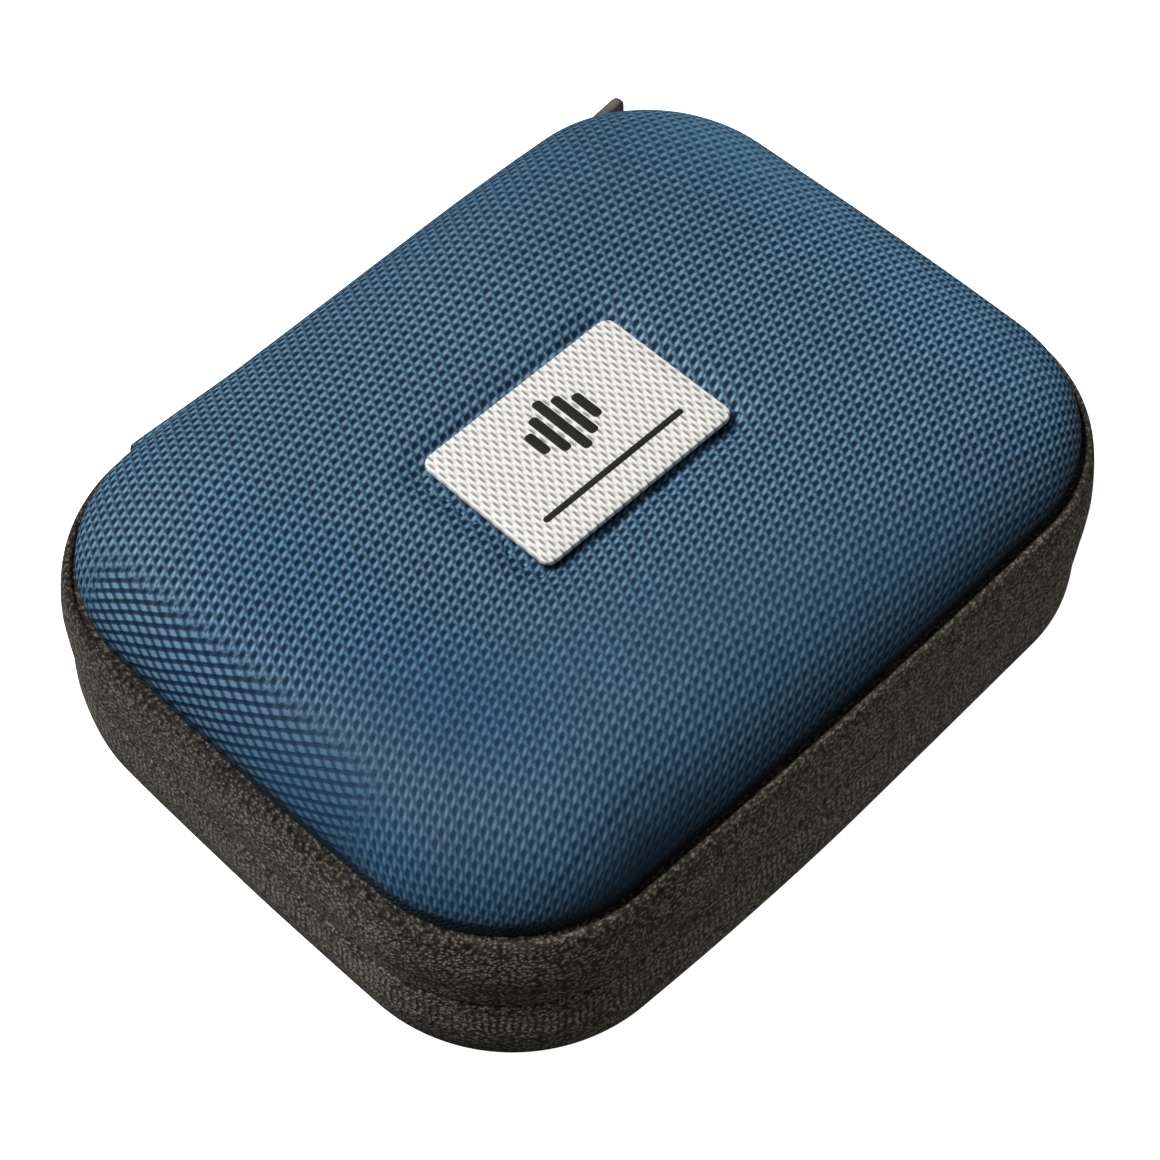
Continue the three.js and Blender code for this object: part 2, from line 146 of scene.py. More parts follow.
def contour(stations, offset):
    """x and y in the first quarter of the contour at each offset, for each station."""
    offset = np.asarray(offset, float)
    radius, corner_x, corner_y, long_turn, short_turn = outline(offset)
    arc, share = stations[:, :1], stations[:, 1:]
    long_radius = radius + corner_x / np.sin(long_turn)
    short_radius = radius + corner_y / np.sin(short_turn)
    angle = short_turn + share * (math.pi / 2 - long_turn - short_turn)
    short_x = HALF_LENGTH + offset - short_radius * (1 - np.cos(share * short_turn))
    short_y = short_radius * np.sin(share * short_turn)
    long_x = long_radius * np.sin(share * long_turn)
    long_y = HALF_WIDTH + offset - long_radius * (1 - np.cos(share * long_turn))
    x = np.select([arc == SHORT, arc == LONG], [short_x, long_x], corner_x + radius * np.cos(angle))
    y = np.select([arc == SHORT, arc == LONG], [short_y, long_y], corner_y + radius * np.sin(angle))
    return x, y


def all_round(count):
    """Rows of a ring, anticlockwise from the middle of the front: quarter's station and two signs."""
    up, down = range(count - 1), range(count - 1, 0, -1)
    quarters = [(down, 1, -1), (up, 1, 1), (down, -1, 1), (up, -1, -1)]
    return np.array([(i, x, y) for stations, x, y in quarters for i in stations])


FINE = quarter(30, 44, 46)
RING = all_round(len(FINE))


def ring_points(profile, stations=FINE, rows=RING):
    """A profile of (offset, z) points carried round the outline: an array of rows by points by 3."""
    profile = np.asarray(profile, float)
    x, y = contour(stations, profile[:, 0])
    index, sign_x, sign_y = rows.T
    z = np.broadcast_to(profile[:, 1], x.shape)
    return np.stack([x[index] * sign_x[:, None], y[index] * sign_y[:, None], z[index]], -1)


def open_rows(end):
    """The ring's rows from an end right of the hinge, round the front, to the tape's end left of it."""
    index, sign_x, sign_y = RING.T
    x = contour(FINE, [0])[0][index, 0]
    start = np.flatnonzero((sign_y > 0) & (sign_x > 0) & (x >= end)).max()
    stop = np.flatnonzero((sign_y > 0) & (sign_x < 0) & (x >= TAPE_END_X)).min()
    return RING[[*range(start, -1, -1), *range(len(RING) - 1, stop - 1, -1)]]


# ---- Meshes

def make_object(name, points, faces, cloth=None, merge=True):
    """An object from millimetre points, with its cloth attribute, its faces turned outwards."""
    mesh = bpy.data.meshes.new(name)
    mesh.from_pydata((np.asarray(points) * MM).tolist(), [], [list(map(int, f)) for f in faces])
    if cloth is not None:
        layer = mesh.attributes.new("cloth", "FLOAT_VECTOR", "POINT")
        layer.data.foreach_set("vector", np.ascontiguousarray(cloth, np.float32).ravel())
    work = bmesh.new()
    work.from_mesh(mesh)
    if merge:
        bmesh.ops.remove_doubles(work, verts=work.verts, dist=1e-7)
        bmesh.ops.dissolve_degenerate(work, dist=1e-8, edges=work.edges)
    bmesh.ops.recalc_face_normals(work, faces=work.faces)
    work.to_mesh(mesh)
    work.free()
    mesh.polygons.foreach_set("use_smooth", [True] * len(mesh.polygons))
    piece = bpy.data.objects.new(name, mesh)
    bpy.context.scene.collection.objects.link(piece)
    return piece


def grid_faces(rows, columns, close_rows=False, close_columns=False):
    """Quads over a grid of points, numbered row by row."""
    i = np.arange(rows if close_rows else rows - 1)
    j = np.arange(columns if close_columns else columns - 1)
    a, b = np.meshgrid(i, j, indexing="ij")
    here, there = a * columns, ((a + 1) % rows) * columns
    k = (b + 1) % columns
    return np.stack([here + b, here + k, there + k, there + b], -1).reshape(-1, 4)


def grid_object(name, points, close_rows=False, close_columns=False, caps=False, cloth=None):
    """An object over a grid of points. caps closes the ends of a tube whose columns are closed."""
    rows, columns = points.shape[:2]
    faces = grid_faces(rows, columns, close_rows, close_columns).tolist()
    if caps:
        faces.append(list(range(columns))[::-1])
        faces.append([(rows - 1) * columns + j for j in range(columns)])
    return make_object(name, points.reshape(-1, 3), faces, cloth)


def run_length(line):
    """Distance along a line to each of its points."""
    steps = np.linalg.norm(np.diff(line, axis=0), axis=1)
    return np.concatenate([[0], np.cumsum(steps)])


def evenly(line, steps):
    """The line in even steps."""
    run = run_length(line)
    even = np.linspace(0, run[-1], steps + 1)
    return np.stack([np.interp(even, run, column) for column in line.T], -1)


def along_line(line, run, *distances):
    """The points at distances along a line."""
    return [np.array([np.interp(t, run, line[:, k]) for k in range(line.shape[1])]) for t in distances]


def lattice(rows, columns, third):
    """A grid of vectors from values by row, values by column, and a third by either."""
    return np.stack(np.broadcast_arrays(rows, columns, third), -1)


def moved(points, matrix):
    """Points carried by a 4x4 matrix."""
    return points @ matrix[:3, :3].T + matrix[:3, 3]


def many(name, points, faces, places):
    """One object of many copies of a small shape. places are 4x4 matrices in millimetres."""
    whole = np.concatenate([moved(points, matrix) for matrix in places])
    every = [[i + k * len(points) for i in f] for k in range(len(places)) for f in faces]
    return make_object(name, whole, every, merge=False)


def capsule(length, width, height, around=8, along=7):
    """Points and faces of a rounded bar along x, centred on the origin."""
    t = np.linspace(-math.pi / 2, math.pi / 2, along)
    a = np.linspace(0, 2 * math.pi, around, endpoint=False)
    swell = np.cos(t) ** 0.6
    rows = [np.stack([np.full(around, length / 2 * math.sin(s)), width / 2 * w * np.cos(a),
                      height / 2 * w * np.sin(a)], -1) for s, w in zip(t[1:-1], swell[1:-1])]
    points = np.concatenate([*rows, [[-length / 2, 0, 0], [length / 2, 0, 0]]])
    faces = grid_faces(along - 2, around, close_columns=True).tolist()
    first, last = len(points) - 2, len(points) - 1
    end = (along - 3) * around
    for j in range(around):
        k = (j + 1) % around
        faces += [[first, k, j], [last, end + j, end + k]]
    return points, faces


def squircle(steps, across_power, up_power):
    """x and y round a square with soft corners, from -1 to 1; low powers make it squarer."""
    turn = np.linspace(0, 2 * math.pi, steps, endpoint=False)
    x, y = np.cos(turn), np.sin(turn)
    return np.sign(x) * np.abs(x) ** across_power, np.sign(y) * np.abs(y) ** up_power


def axes(origin, *columns):
    """A 4x4 matrix of x, y and z axes at an origin."""
    matrix = np.eye(4)
    matrix[:3, :3] = np.stack(columns, -1)
    matrix[:3, 3] = origin
    return matrix


def placed(origin, x_axis, z_axis):
    """A 4x4 matrix whose x and z point as given."""
    x = np.asarray(x_axis, float) / np.linalg.norm(x_axis)
    z = np.asarray(z_axis, float) - np.dot(z_axis, x) * x
    z = z / np.linalg.norm(z)
    return axes(origin, x, np.cross(z, x), z)


# ---- Material graphs

def linear(red, green, blue):
    """An sRGB colour from 0 to 255, as the shader wants it."""
    def channel(c):
        c = c / 255
        return c / 12.92 if c <= 0.04045 else ((c + 0.055) / 1.055) ** 2.4
    return (channel(red), channel(green), channel(blue), 1)


class Field:
    """A value that varies over a material, with the arithmetic of numbers."""

    def __init__(self, graph, socket):
        self.graph, self.socket = graph, socket

    def __add__(self, other):
        return self.graph.math("ADD", self, other)

    def __sub__(self, other):
        return self.graph.math("SUBTRACT", self, other)

    def __rsub__(self, other):
        return self.graph.math("SUBTRACT", other, self)

    def __mul__(self, other):
        return self.graph.math("MULTIPLY", self, other)

    def __truediv__(self, other):
        return self.graph.math("DIVIDE", self, other)

    def __pow__(self, other):
        return self.graph.math("POWER", self, other)

    def __abs__(self):
        return self.graph.math("ABSOLUTE", self)

    __radd__, __rmul__ = __add__, __mul__


class Graph:
    """A material and short ways to add nodes to it."""

    def __init__(self, name, roughness=0.6, **sockets):
        self.material = bpy.data.materials.new(name)
        self.material.use_nodes = True
        self.tree = self.material.node_tree
        self.shader = self.tree.nodes["Principled BSDF"]
        self.shader.inputs["Roughness"].default_value = roughness
        for key, value in sockets.items():
            self.shader.inputs[key.replace("_", " ")].default_value = value

    def put(self, socket, value):
        if isinstance(value, Field):
            self.tree.links.new(value.socket, socket)
        elif value is not None:
            socket.default_value = value

    def node(self, kind, inputs=None, **properties):
        node = self.tree.nodes.new(kind)
        for key, value in properties.items():
            setattr(node, key, value)
        for key, value in (inputs or {}).items():
            self.put(node.inputs[key], value)
        return node

    def field(self, kind, output, inputs=None, **properties):
        """One output of a new node."""
        return Field(self, self.node(kind, inputs, **properties).outputs[output])

    def math(self, operation, *values):
        return self.field("ShaderNodeMath", 0, dict(enumerate(values)), operation=operation)

    def cloth(self):
        return self.field("ShaderNodeAttribute", "Vector", attribute_name="cloth")

    def place(self):
        return self.field("ShaderNodeTexCoord", "Object")

    def split(self, vector):
        return [Field(self, out) for out in self.node("ShaderNodeSeparateXYZ", {0: vector}).outputs]

    def join(self, x, y, z=0.0):
        return self.field("ShaderNodeCombineXYZ", 0, {0: x, 1: y, 2: z})

    def scale(self, vector, factors):
        return self.field("ShaderNodeVectorMath", 0, {0: vector, 1: factors}, operation="MULTIPLY")

    def add(self, a, b):
        return self.field("ShaderNodeVectorMath", 0, {0: a, 1: b}, operation="ADD")

    def noise(self, vector, scale, detail=2, roughness=0.5, output="Fac"):
        inputs = {"Vector": vector, "Scale": scale, "Detail": detail, "Roughness": roughness}
        return self.field("ShaderNodeTexNoise", output, inputs)

    def voronoi(self, vector, scale):
        inputs = {"Vector": vector, "Scale": scale, "Randomness": 1.0}
        return self.field("ShaderNodeTexVoronoi", "Distance", inputs)

    def step(self, value, low, high):
        """0 below low, 1 above high, smooth between."""
        inputs = {"Value": value, "From Min": low, "From Max": high}
        return self.field("ShaderNodeMapRange", "Result", inputs, interpolation_type="SMOOTHSTEP")

    def between(self, value, low, high, soft):
        """1 from low to high, 0 outside, soft at either end."""
        above = self.step(value, low - soft, low + soft)
        return above * (1 - self.step(value, high - soft, high + soft))

    def mix(self, factor, a, b, blend="MIX"):
        inputs = {"Factor": factor, 6: a, 7: b}
        return self.field("ShaderNodeMix", 2, inputs, data_type="RGBA", blend_type=blend)

    def shaded(self, colour, *factors):
        """The colour times one factor, or times one for each channel."""
        return self.mix(1.0, colour, self.join(*factors * (3 // len(factors))), "MULTIPLY")

    def blend(self, factor, a, b):
        return self.field("ShaderNodeMix", 0, {0: factor, 2: a, 3: b}, data_type="FLOAT")

    def ramp(self, value, *stops):
        """A colour by value, from stops of (value, red, green, blue), the channels from 0 to 255."""
        node = self.node("ShaderNodeValToRGB", {0: value})
        elements = node.color_ramp.elements
        while len(elements) < len(stops):
            elements.new(0.5)
        for element, (position, *colour) in zip(elements, stops):
            element.position = position
            element.color = linear(*colour)
        return Field(self, node.outputs["Color"])

    def paint(self, value, socket="Base Color"):
        self.put(self.shader.inputs[socket], value)

    def bump(self, height, distance):
        inputs = {"Height": height, "Distance": distance * MM, "Strength": 1.0}
        self.paint(self.field("ShaderNodeBump", 0, inputs), "Normal")


# Middle, half length and half width of a cell's float, pit and thread, in shares of the cell
FLOAT_OVAL = (-0.24, 0.42, 0.26)
PIT_OVAL = (0.22, 0.38, 0.27)
THREAD_OVAL = (0.42, 0.2, 0.5)
OVAL_SOFTNESS = (0.3, 1.3)
SLANT_PIVOT = 0.23
# Heights of the weave, from 0 to 1
GROUND, FLOAT_RISE, THREAD_RISE, PIT_DEPTH = 0.46, 0.54, 0.3, 0.5
STROKE_TOP, LINE_DEPTH, GAP_DEPTH = 0.83, 0.65, 0.5


def float_weave(g, vector, period, row, lean, pit=1.0, slant=0.2, drawn=0.0):
    """Height from 0 to 1 of a weave seen as raised floats along x, staggered from row to row. Beyond
    each float lies a pit, and the threads between the pits slant down from the floats of the next row.
    lean tilts floats and pits, pit is the pits' size, slant that of the threads, and where drawn is 1
    the pits run together into lines with a row of strokes between them. Also gives a number from 0 to 1
    for each float."""
    x, y, _ = g.split(vector)
    v = y / row
    j = g.math("FLOOR", v)
    up = v - j - 0.5
    u = x / period + j * 0.5
    u -= (up + SLANT_PIVOT) * slant
    i = g.math("FLOOR", u)
    across = u - i - 0.5
    tilted = up - across * lean

    def oval(across, up, centre, half_length, half_width):
        a = (abs(across) / half_length) ** 2.0
        b = abs((up - centre) / half_width) ** 2.0
        return 1 - g.step(g.math("SQRT", a + b), *OVAL_SOFTNESS)

    centre, half_length, half_width = PIT_OVAL
    height = GROUND + FLOAT_RISE * oval(across, tilted, *FLOAT_OVAL)
    height += oval(0.5 - abs(across), up, *THREAD_OVAL) * THREAD_RISE
    sunk = oval(across, tilted, centre, half_length * pit, half_width * pit)
    height -= sunk * PIT_DEPTH
    line = 1 - g.step(abs(across), 0.05, 0.3)
    along = g.math("FRACT", up - across)
    gap = 1 - g.step(abs(along - 0.5), 0.02, 0.36)
    strokes = STROKE_TOP - line * LINE_DEPTH - gap * GAP_DEPTH
    height = g.blend(drawn, height, g.math("MAXIMUM", strokes, 0.0))
    each = g.field("ShaderNodeTexWhiteNoise", "Value", {"Vector": g.join(i, j)}, noise_dimensions="2D")
    return height, each


def wandered(g, vector, amount, scale):
    """The vector moved about a little, so that rows aren't ruler-straight."""
    drift = g.add(g.noise(vector, scale, 1, output="Color"), (-0.5, -0.5, -0.5))
    return g.add(vector, g.scale(drift, (amount, amount, 0)))


COVER_PERIOD = 1.38  # from float to float along a row, in millimetres
COVER_ROW = 1.31


def cover_cloth():
    """Blue filament weave. Its cloth attribute runs right, back and up from the middle and the seam.

    The rows turn into drawn lines on the left wall, and the relief is flatter towards the front, the right
    end and the far corner. The colour carries painted shade at the seam, over the left crest, at the near
    corner and along a fold on the front wall, and a painted sheen at the right end; it is less red over
    the left."""
    g = Graph("blue_weave", roughness=0.45, Specular_IOR_Level=0.35)
    attribute = g.cloth()
    along, back, up = g.split(attribute)
    cloth = wandered(g, g.scale(attribute, (1, 1, 0)), 0.5, 0.09)
    lean = 0.22 - 0.0055 * back
    left_wall = g.step(along * -1.0, 46.5, 51.5)
    drawn = left_wall * g.between(back, -13, 34, 4)
    slant = 0.2 - 0.7 * drawn
    height, each = float_weave(g, cloth, COVER_PERIOD, COVER_ROW, lean, slant=slant, drawn=drawn)

    diagonal = along * 0.5 + back
    far = g.step(diagonal, 20, 56)
    right_end = g.step(along - back * 0.06, 31, 57)
    right_end *= g.step(back, -46, -28)
    near_corner = g.between(along, -48, -24, 8) * g.step(back * -1.0, 36, 43)
    relief = 0.5 + 0.5 * g.step(diagonal, -34, -12)
    for zone, loss in ((right_end, 0.3), (far, 0.4), (near_corner, 0.25)):
        relief -= zone * loss
    # flat, the value the relief blends to, is raised at the right end and a little towards the far corner:
    # a painted sheen
    flat = 0.47 + 0.24 * right_end + far * 0.04
    height = g.blend(relief, flat, height)

    filaments = g.noise(g.scale(cloth, (0.9, 9, 1)), 1.0)
    # the ramp keeps the threads' deep blue, darkens the weave's pits as painted shade and pales the float
    # tops as a painted highlight
    colour = g.ramp(height, (0.05, 0, 24, 45), (0.45, 25, 64, 92), (0.98, 104, 142, 166))
    colour = g.shaded(colour, 0.84 + 0.18 * each + filaments * 0.26)
    # crest marks the band where the left rim's shade falls, painted below; left marks where the cloth is
    # less red
    crest = g.between(along, -51, -41, 5) * g.between(back, -28, 12, 10)
    left = g.between(along, -58, -30, 7) * g.between(back, -26, 24, 10)
    # light: broad random patches, and painted shade low at the seam, where the cover tucks under the band
    light = (0.92 + 0.14 * g.noise(cloth, 0.06, 3)) * (0.3 + 0.7 * g.step(up, -0.3, 3.6))
    # a thin line of painted shade along a fold on the front wall
    fold = g.between(back, -37, -36.4, 0.5) * g.between(along, -46, -26, 5)
    # painted light: a sheen at the right end, and painted shade over the left crest, at the near corner and
    # along the fold
    for zone, gain in ((right_end, 0.5), (crest, -0.13), (near_corner, -0.28), (fold, -0.4)):
        light *= 1.0 + gain * zone
    red = light * (1.0 - 0.3 * left)
    green = light * (1.0 - 0.1 * left)
    g.paint(g.shaded(colour, red, green, light))
    g.paint(0.85 - 0.4 * height, "Roughness")
    g.bump(height + filaments * 0.1, 0.2)
    return g.material


BADGE_PERIOD = 1.88
BADGE_ROW = 0.7


def badge_cloth():
    """Off-white woven label, its lumps bright, with short grey dashes between them."""
    g = Graph("badge", roughness=0.6, Specular_IOR_Level=0.3)
    across, along, _ = g.split(wandered(g, g.cloth(), 0.12, 0.3))
    height, each = float_weave(g, g.join(along, across), BADGE_PERIOD, BADGE_ROW, -0.1, 0.9)
    colour = g.ramp(height, (0.08, 158, 155, 149), (0.42, 214, 212, 206), (0.8, 246, 245, 241))
    g.paint(g.shaded(colour, 0.95 + 0.05 * each))
    g.bump(height, 0.12)
    return g.material


GRAIN_SIZE = (0.5, 0.44)  # of the knit, along the tape and up it
FOLD_PITCH = 1.25  # of the ribs on the fold at the seam
BARS_PITCH = 0.86  # of those by the closure, on the base's tape
CREASE_PITCH = 1.1  # of those along the crease in the lid's tape


def tape_cloth():
    """Knitted zipper tape, painted paler and greyer to the front and the right as painted fill light, and
    darker on its upper shoulder as painted shade. Its cloth attribute runs along, up from the closure, and
    from 0 on the base to 1 on the lid."""
    g = Graph("zip_tape", roughness=0.85, Specular_IOR_Level=0.2, Sheen_Weight=0.08)
    cloth = g.cloth()
    along, up, side = g.split(wandered(g, cloth, 0.5, 0.6))
    grains = g.voronoi(g.join(along / GRAIN_SIZE[0], up / GRAIN_SIZE[1]), 1.0)
    fine = g.noise(g.scale(cloth, (1.9, 2.3, 1)), 1.0, 3, 0.7)
    knit = (0.75 - grains) * 0.8 + fine * 0.65

    def ribs(pitch):
        return abs(g.math("SINE", along * (math.pi / pitch)))

    knit = g.blend(g.step(up, 9.6, 10.8) * 0.12, knit, ribs(FOLD_PITCH))
    bars = g.between(up, 0.9, 3.9, 0.5) * (1 - side)
    knit = g.blend(bars * 0.25, knit, ribs(BARS_PITCH))
    crease = g.between(up, 2.3, 2.75, 0.25) * side * ribs(CREASE_PITCH)
    relief = knit - crease * 0.25
    colour = g.ramp(relief, (0.28, 14, 12, 9), (0.55, 72, 66, 56), (0.85, 160, 150, 132))
    right, back, _ = g.split(g.place())
    # painted fill light: the front and the right, out of the key lamp's reach, are painted paler and greyer
    painted_fill = g.step(right * 0.5 - back, -0.003, 0.045)
    colour = g.mix(painted_fill * 0.35, colour, linear(70, 72, 66))
    # painted fill light brightens the front and right, and the upper shoulder, which faces the key lamp, is
    # darkened as painted shade
    g.paint(g.shaded(colour, (1.0 + 2.2 * painted_fill) * (1.0 - 0.5 * g.step(up, 7.5, 11.5))))
    g.bump(relief, 0.3)
    return g.material


def plain_cloth(name, dark, light, grain, bump, **sockets):
    """A fine even cloth or foam, mottled from dark to light; grain is its size in millimetres."""
    g = Graph(name, roughness=0.9, **sockets)
    place = g.place()
    fine = g.noise(place, 1000 / grain, 3, 0.6)
    broad = g.noise(place, 60, 2)
    value = fine * 0.8 + broad * 0.25
    g.paint(g.ramp(value, (0.25, *dark), (0.8, *light)))
    g.bump(fine, bump)
    return g.material


def ribbed_cloth(name, dark, light, pitch, bump):
    """A narrow woven tape with ribs across it, every pitch millimetres along its cloth attribute."""
    g = Graph(name, roughness=0.8, Specular_IOR_Level=0.25)
    cloth = g.cloth()
    along, across, _ = g.split(cloth)
    rib = abs(g.math("SINE", along * (math.pi / pitch)))
    thread = abs(g.math("SINE", across * (math.pi / 0.4)))
    value = rib * 0.6 + thread * 0.2
    value += g.noise(cloth, 3.0, 2) * 0.3
    g.paint(g.ramp(value, (0.2, *dark), (0.95, *light)))
    g.bump(value, bump)
    return g.material


def hard(name, dark, light, roughness, metal=0.0, bump=0.01):
    """Metal or plastic with brushed wear and fine scratches."""
    g = Graph(name, Metallic=metal)
    place = g.place()
    wear = g.noise(place, 400, 4, 0.6)
    scratches = g.noise(g.scale(place, (3000, 300, 3000)), 1.0, 2)
    g.paint(g.ramp(wear, (0.3, *dark), (0.7, *light)))
    g.paint(roughness - 0.1 + scratches * 0.22, "Roughness")
    g.bump(scratches, bump)
    return g.material


BLUE = cover_cloth()
BADGE = badge_cloth()
TAPE = tape_cloth()
FOAM = plain_cloth("foam", (18, 19, 21), (48, 50, 53), 0.6, 0.15)
LINING = plain_cloth("lining", (13, 13, 15), (44, 45, 49), 0.35, 0.1, Sheen_Weight=0.25)
BINDING = ribbed_cloth("binding", (12, 12, 13), (50, 50, 52), 0.6, 0.08)
ELASTIC = ribbed_cloth("elastic", (10, 10, 11), (46, 46, 49), 0.75, 0.15)
NET = plain_cloth("net", (10, 10, 11), (38, 39, 42), 0.3, 0.05)
COIL = hard("zip_coil", (16, 16, 17), (40, 40, 42), 0.38)
INK = hard("badge_ink", (20, 19, 16), (31, 30, 26), 0.9)
THREAD = plain_cloth("thread", (20, 26, 36), (58, 70, 88), 0.15, 0.04)
GUNMETAL = hard("gunmetal", (120, 114, 104), (172, 164, 152), 0.45, metal=0.6)


def finish_piece(piece, material, slot, body=None, *replaced):
    """A piece's material, its slot (not used), the body it rides on and the nodes it stands for."""
    piece.data.materials.append(material)
    if body:
        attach(piece, body)
    if replaced:
        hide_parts(*replaced)
    return piece


# ---- Moulded halves

def dome_height(inset, rise):
    """Height of a dome's face over its seam at an inset."""
    reach = 1 - np.clip(inset / DOME_REACH, 0, 1)
    return rise * (1 - reach ** DOME_POWER) ** (1 / DOME_POWER)


def dome_profile(depth, rise, steps):
    """(inset, height) points of a layer's face at a depth, evenly spaced, from seam to crest."""
    turn = np.linspace(0, math.pi / 2, 600)
    reach, height = np.cos(turn) ** (2 / DOME_POWER), np.sin(turn) ** (2 / DOME_POWER)
    inset = depth + (DOME_REACH - depth) * (1 - reach)
    up = (rise - depth) * height
    return evenly(np.stack([inset, up], -1), steps)


def search_inset(x, y):
    """The inset of the contour that passes through a point, by bisection; below 0 outside the seam."""
    low, high = np.full_like(x, -3), np.full_like(x, HALF_WIDTH)
    for _ in range(18):
        middle = (low + high) / 2
        radius, corner_x, corner_y, _, _ = outline(-middle)
        fade = np.maximum(1 - middle / BOW_FADE, 0.1)
        out_x = x - corner_x - SHORT_SIDE_BOW * fade * (1 - (y / corner_y) ** 2).clip(0)
        out_y = y - corner_y - LONG_SIDE_BOW * fade * (1 - (x / corner_x) ** 2).clip(0)
        corner = (x > corner_x) & (y > corner_y)
        distance = np.where(corner, np.hypot(x - corner_x, y - corner_y), np.maximum(out_x, out_y)) - radius
        low, high = np.where(distance < 0, middle, low), np.where(distance < 0, high, middle)
    return (low + high) / 2


TABLE_STEP = 0.5
TABLE_X, TABLE_Y = np.arange(0, 60, TABLE_STEP), np.arange(0, 47, TABLE_STEP)
INSETS = search_inset(*np.meshgrid(TABLE_X, TABLE_Y, indexing="ij"))


def inset_at(x, y):
    """The inset of the contour that passes through a point, from a table of the first quarter."""
    u, v = np.abs(x) / TABLE_STEP, np.abs(y) / TABLE_STEP
    i = np.minimum(u.astype(int), INSETS.shape[0] - 2)
    j = np.minimum(v.astype(int), INSETS.shape[1] - 2)
    u, v = u - i, v - j
    low = INSETS[i, j] * (1 - v) + INSETS[i, j + 1] * v
    high = INSETS[i + 1, j] * (1 - v) + INSETS[i + 1, j + 1] * v
    return np.maximum(low * (1 - u) + high * u, 0)


CREST_RISE = 12.0
CREST_INSET = 14.0
CREST_DIP = 1.6
CREST_DIP_REACH = 20
CREST_TURN = math.radians(-125)  # where the crest is highest, seen from above
CREST_POWER = 1.3
BACK_TURN, BACK_REACH, BACK_WEIGHT = 1.1, 0.45, 0.65  # a lower crest at the back right corner


def rim(x, y):
    """How far the lid's padded rim stands over the plain dome: most at the front left, where the foam
    is thickest, and a little at the back right."""
    inset = inset_at(x, y)
    reach = 1 - np.clip(inset / CREST_INSET, 0, 1)
    dip = np.clip((inset - CREST_INSET) / CREST_DIP_REACH, 0, 1)
    padded = CREST_RISE * np.sqrt(1 - reach ** 2) - CREST_DIP * dip * dip * (3 - 2 * dip)
    turn = np.arctan2(y / HALF_WIDTH, x / HALF_LENGTH)
    weight = (0.5 + 0.5 * np.cos(turn - CREST_TURN)) ** CREST_POWER
    weight += BACK_WEIGHT * np.exp(-((turn - BACK_TURN) / BACK_REACH) ** 2)
    return weight * (padded - dome_height(inset, LID_RISE))


def thread_lengths(x, y, height, side, rise):
    """Lengths over the dome from its middle along a weft, at constant y, and along a warp."""
    share = np.sin(np.linspace(0, math.pi / 2, 49))

    def length(start, fixed, swap):
        line = start[:, None] * share
        other = np.broadcast_to(fixed[:, None], line.shape)
        place = (other, line) if swap else (line, other)
        up = dome_height(inset_at(*place), rise)
        if side > 0:
            up = up + rim(*place)
        up[:, -1] = height
        return np.hypot(np.diff(line, axis=1), np.diff(up, axis=1)).sum(1)

    return length(x, y, False), length(y, x, True)


def badge_distance(x, y):
    """How far a point is outside the badge's outline, below 0 inside it."""
    x = np.abs(x - BADGE_CENTRE[0]) - BADGE_SIZE[0] / 2 + BADGE_CORNER
    y = np.abs(y - BADGE_CENTRE[1]) - BADGE_SIZE[1] / 2 + BADGE_CORNER
    outside = np.hypot(np.maximum(x, 0), np.maximum(y, 0))
    return outside + np.minimum(np.maximum(x, y), 0) - BADGE_CORNER


SHADE_FREE_HEIGHT = 5  # a cloth attribute's height at which cover_cloth's painted seam shade doesn't darken it
RECESS = 1.3
RECESS_REACH = 2.5
ROW_BOW = 0.0016  # the rows of the weave curve back by this, times x squared


def recess(x, y):
    """How far the lid's top sinks round the badge, a little unevenly."""
    distance = np.maximum(badge_distance(x, y), 0)
    turn = np.arctan2(y, x)
    pucker = 1 + 0.12 * np.sin(9 * turn + 1) + 0.08 * np.sin(17 * turn)
    return RECESS * pucker * np.exp(-(distance / RECESS_REACH) ** 2)


TUCK = [(0.75, -0.95), (0.3, -0.85), (0.06, -0.45)]  # (inset, height) of the edge under the band
PINCH = 0.45  # how far the band's edge presses the cover in at the seam
PINCH_REACH = 0.9


def inner_face(side, rise, below, top, steps, stations=FINE, rows=RING):
    """A half's face at a depth below its cover's. The lid's rises with its rim, and sinks under the
    badge above the height top."""
    points = ring_points(dome_profile(below, rise, steps) * (-1, 1), stations, rows)
    middle = np.broadcast_to((0, 0, rise - below), (len(rows), 1, 3))
    points = np.concatenate([points, middle], 1)
    x, y, up = points[..., 0], points[..., 1], points[..., 2]
    if side > 0:
        up += rim(x, y) * np.clip(up / 3, 0, 1)
        up -= recess(x, y) * (up > top)
    points[..., 2] = CLOSURE_Z + side * TAPE_HEIGHT + side * up
    return points


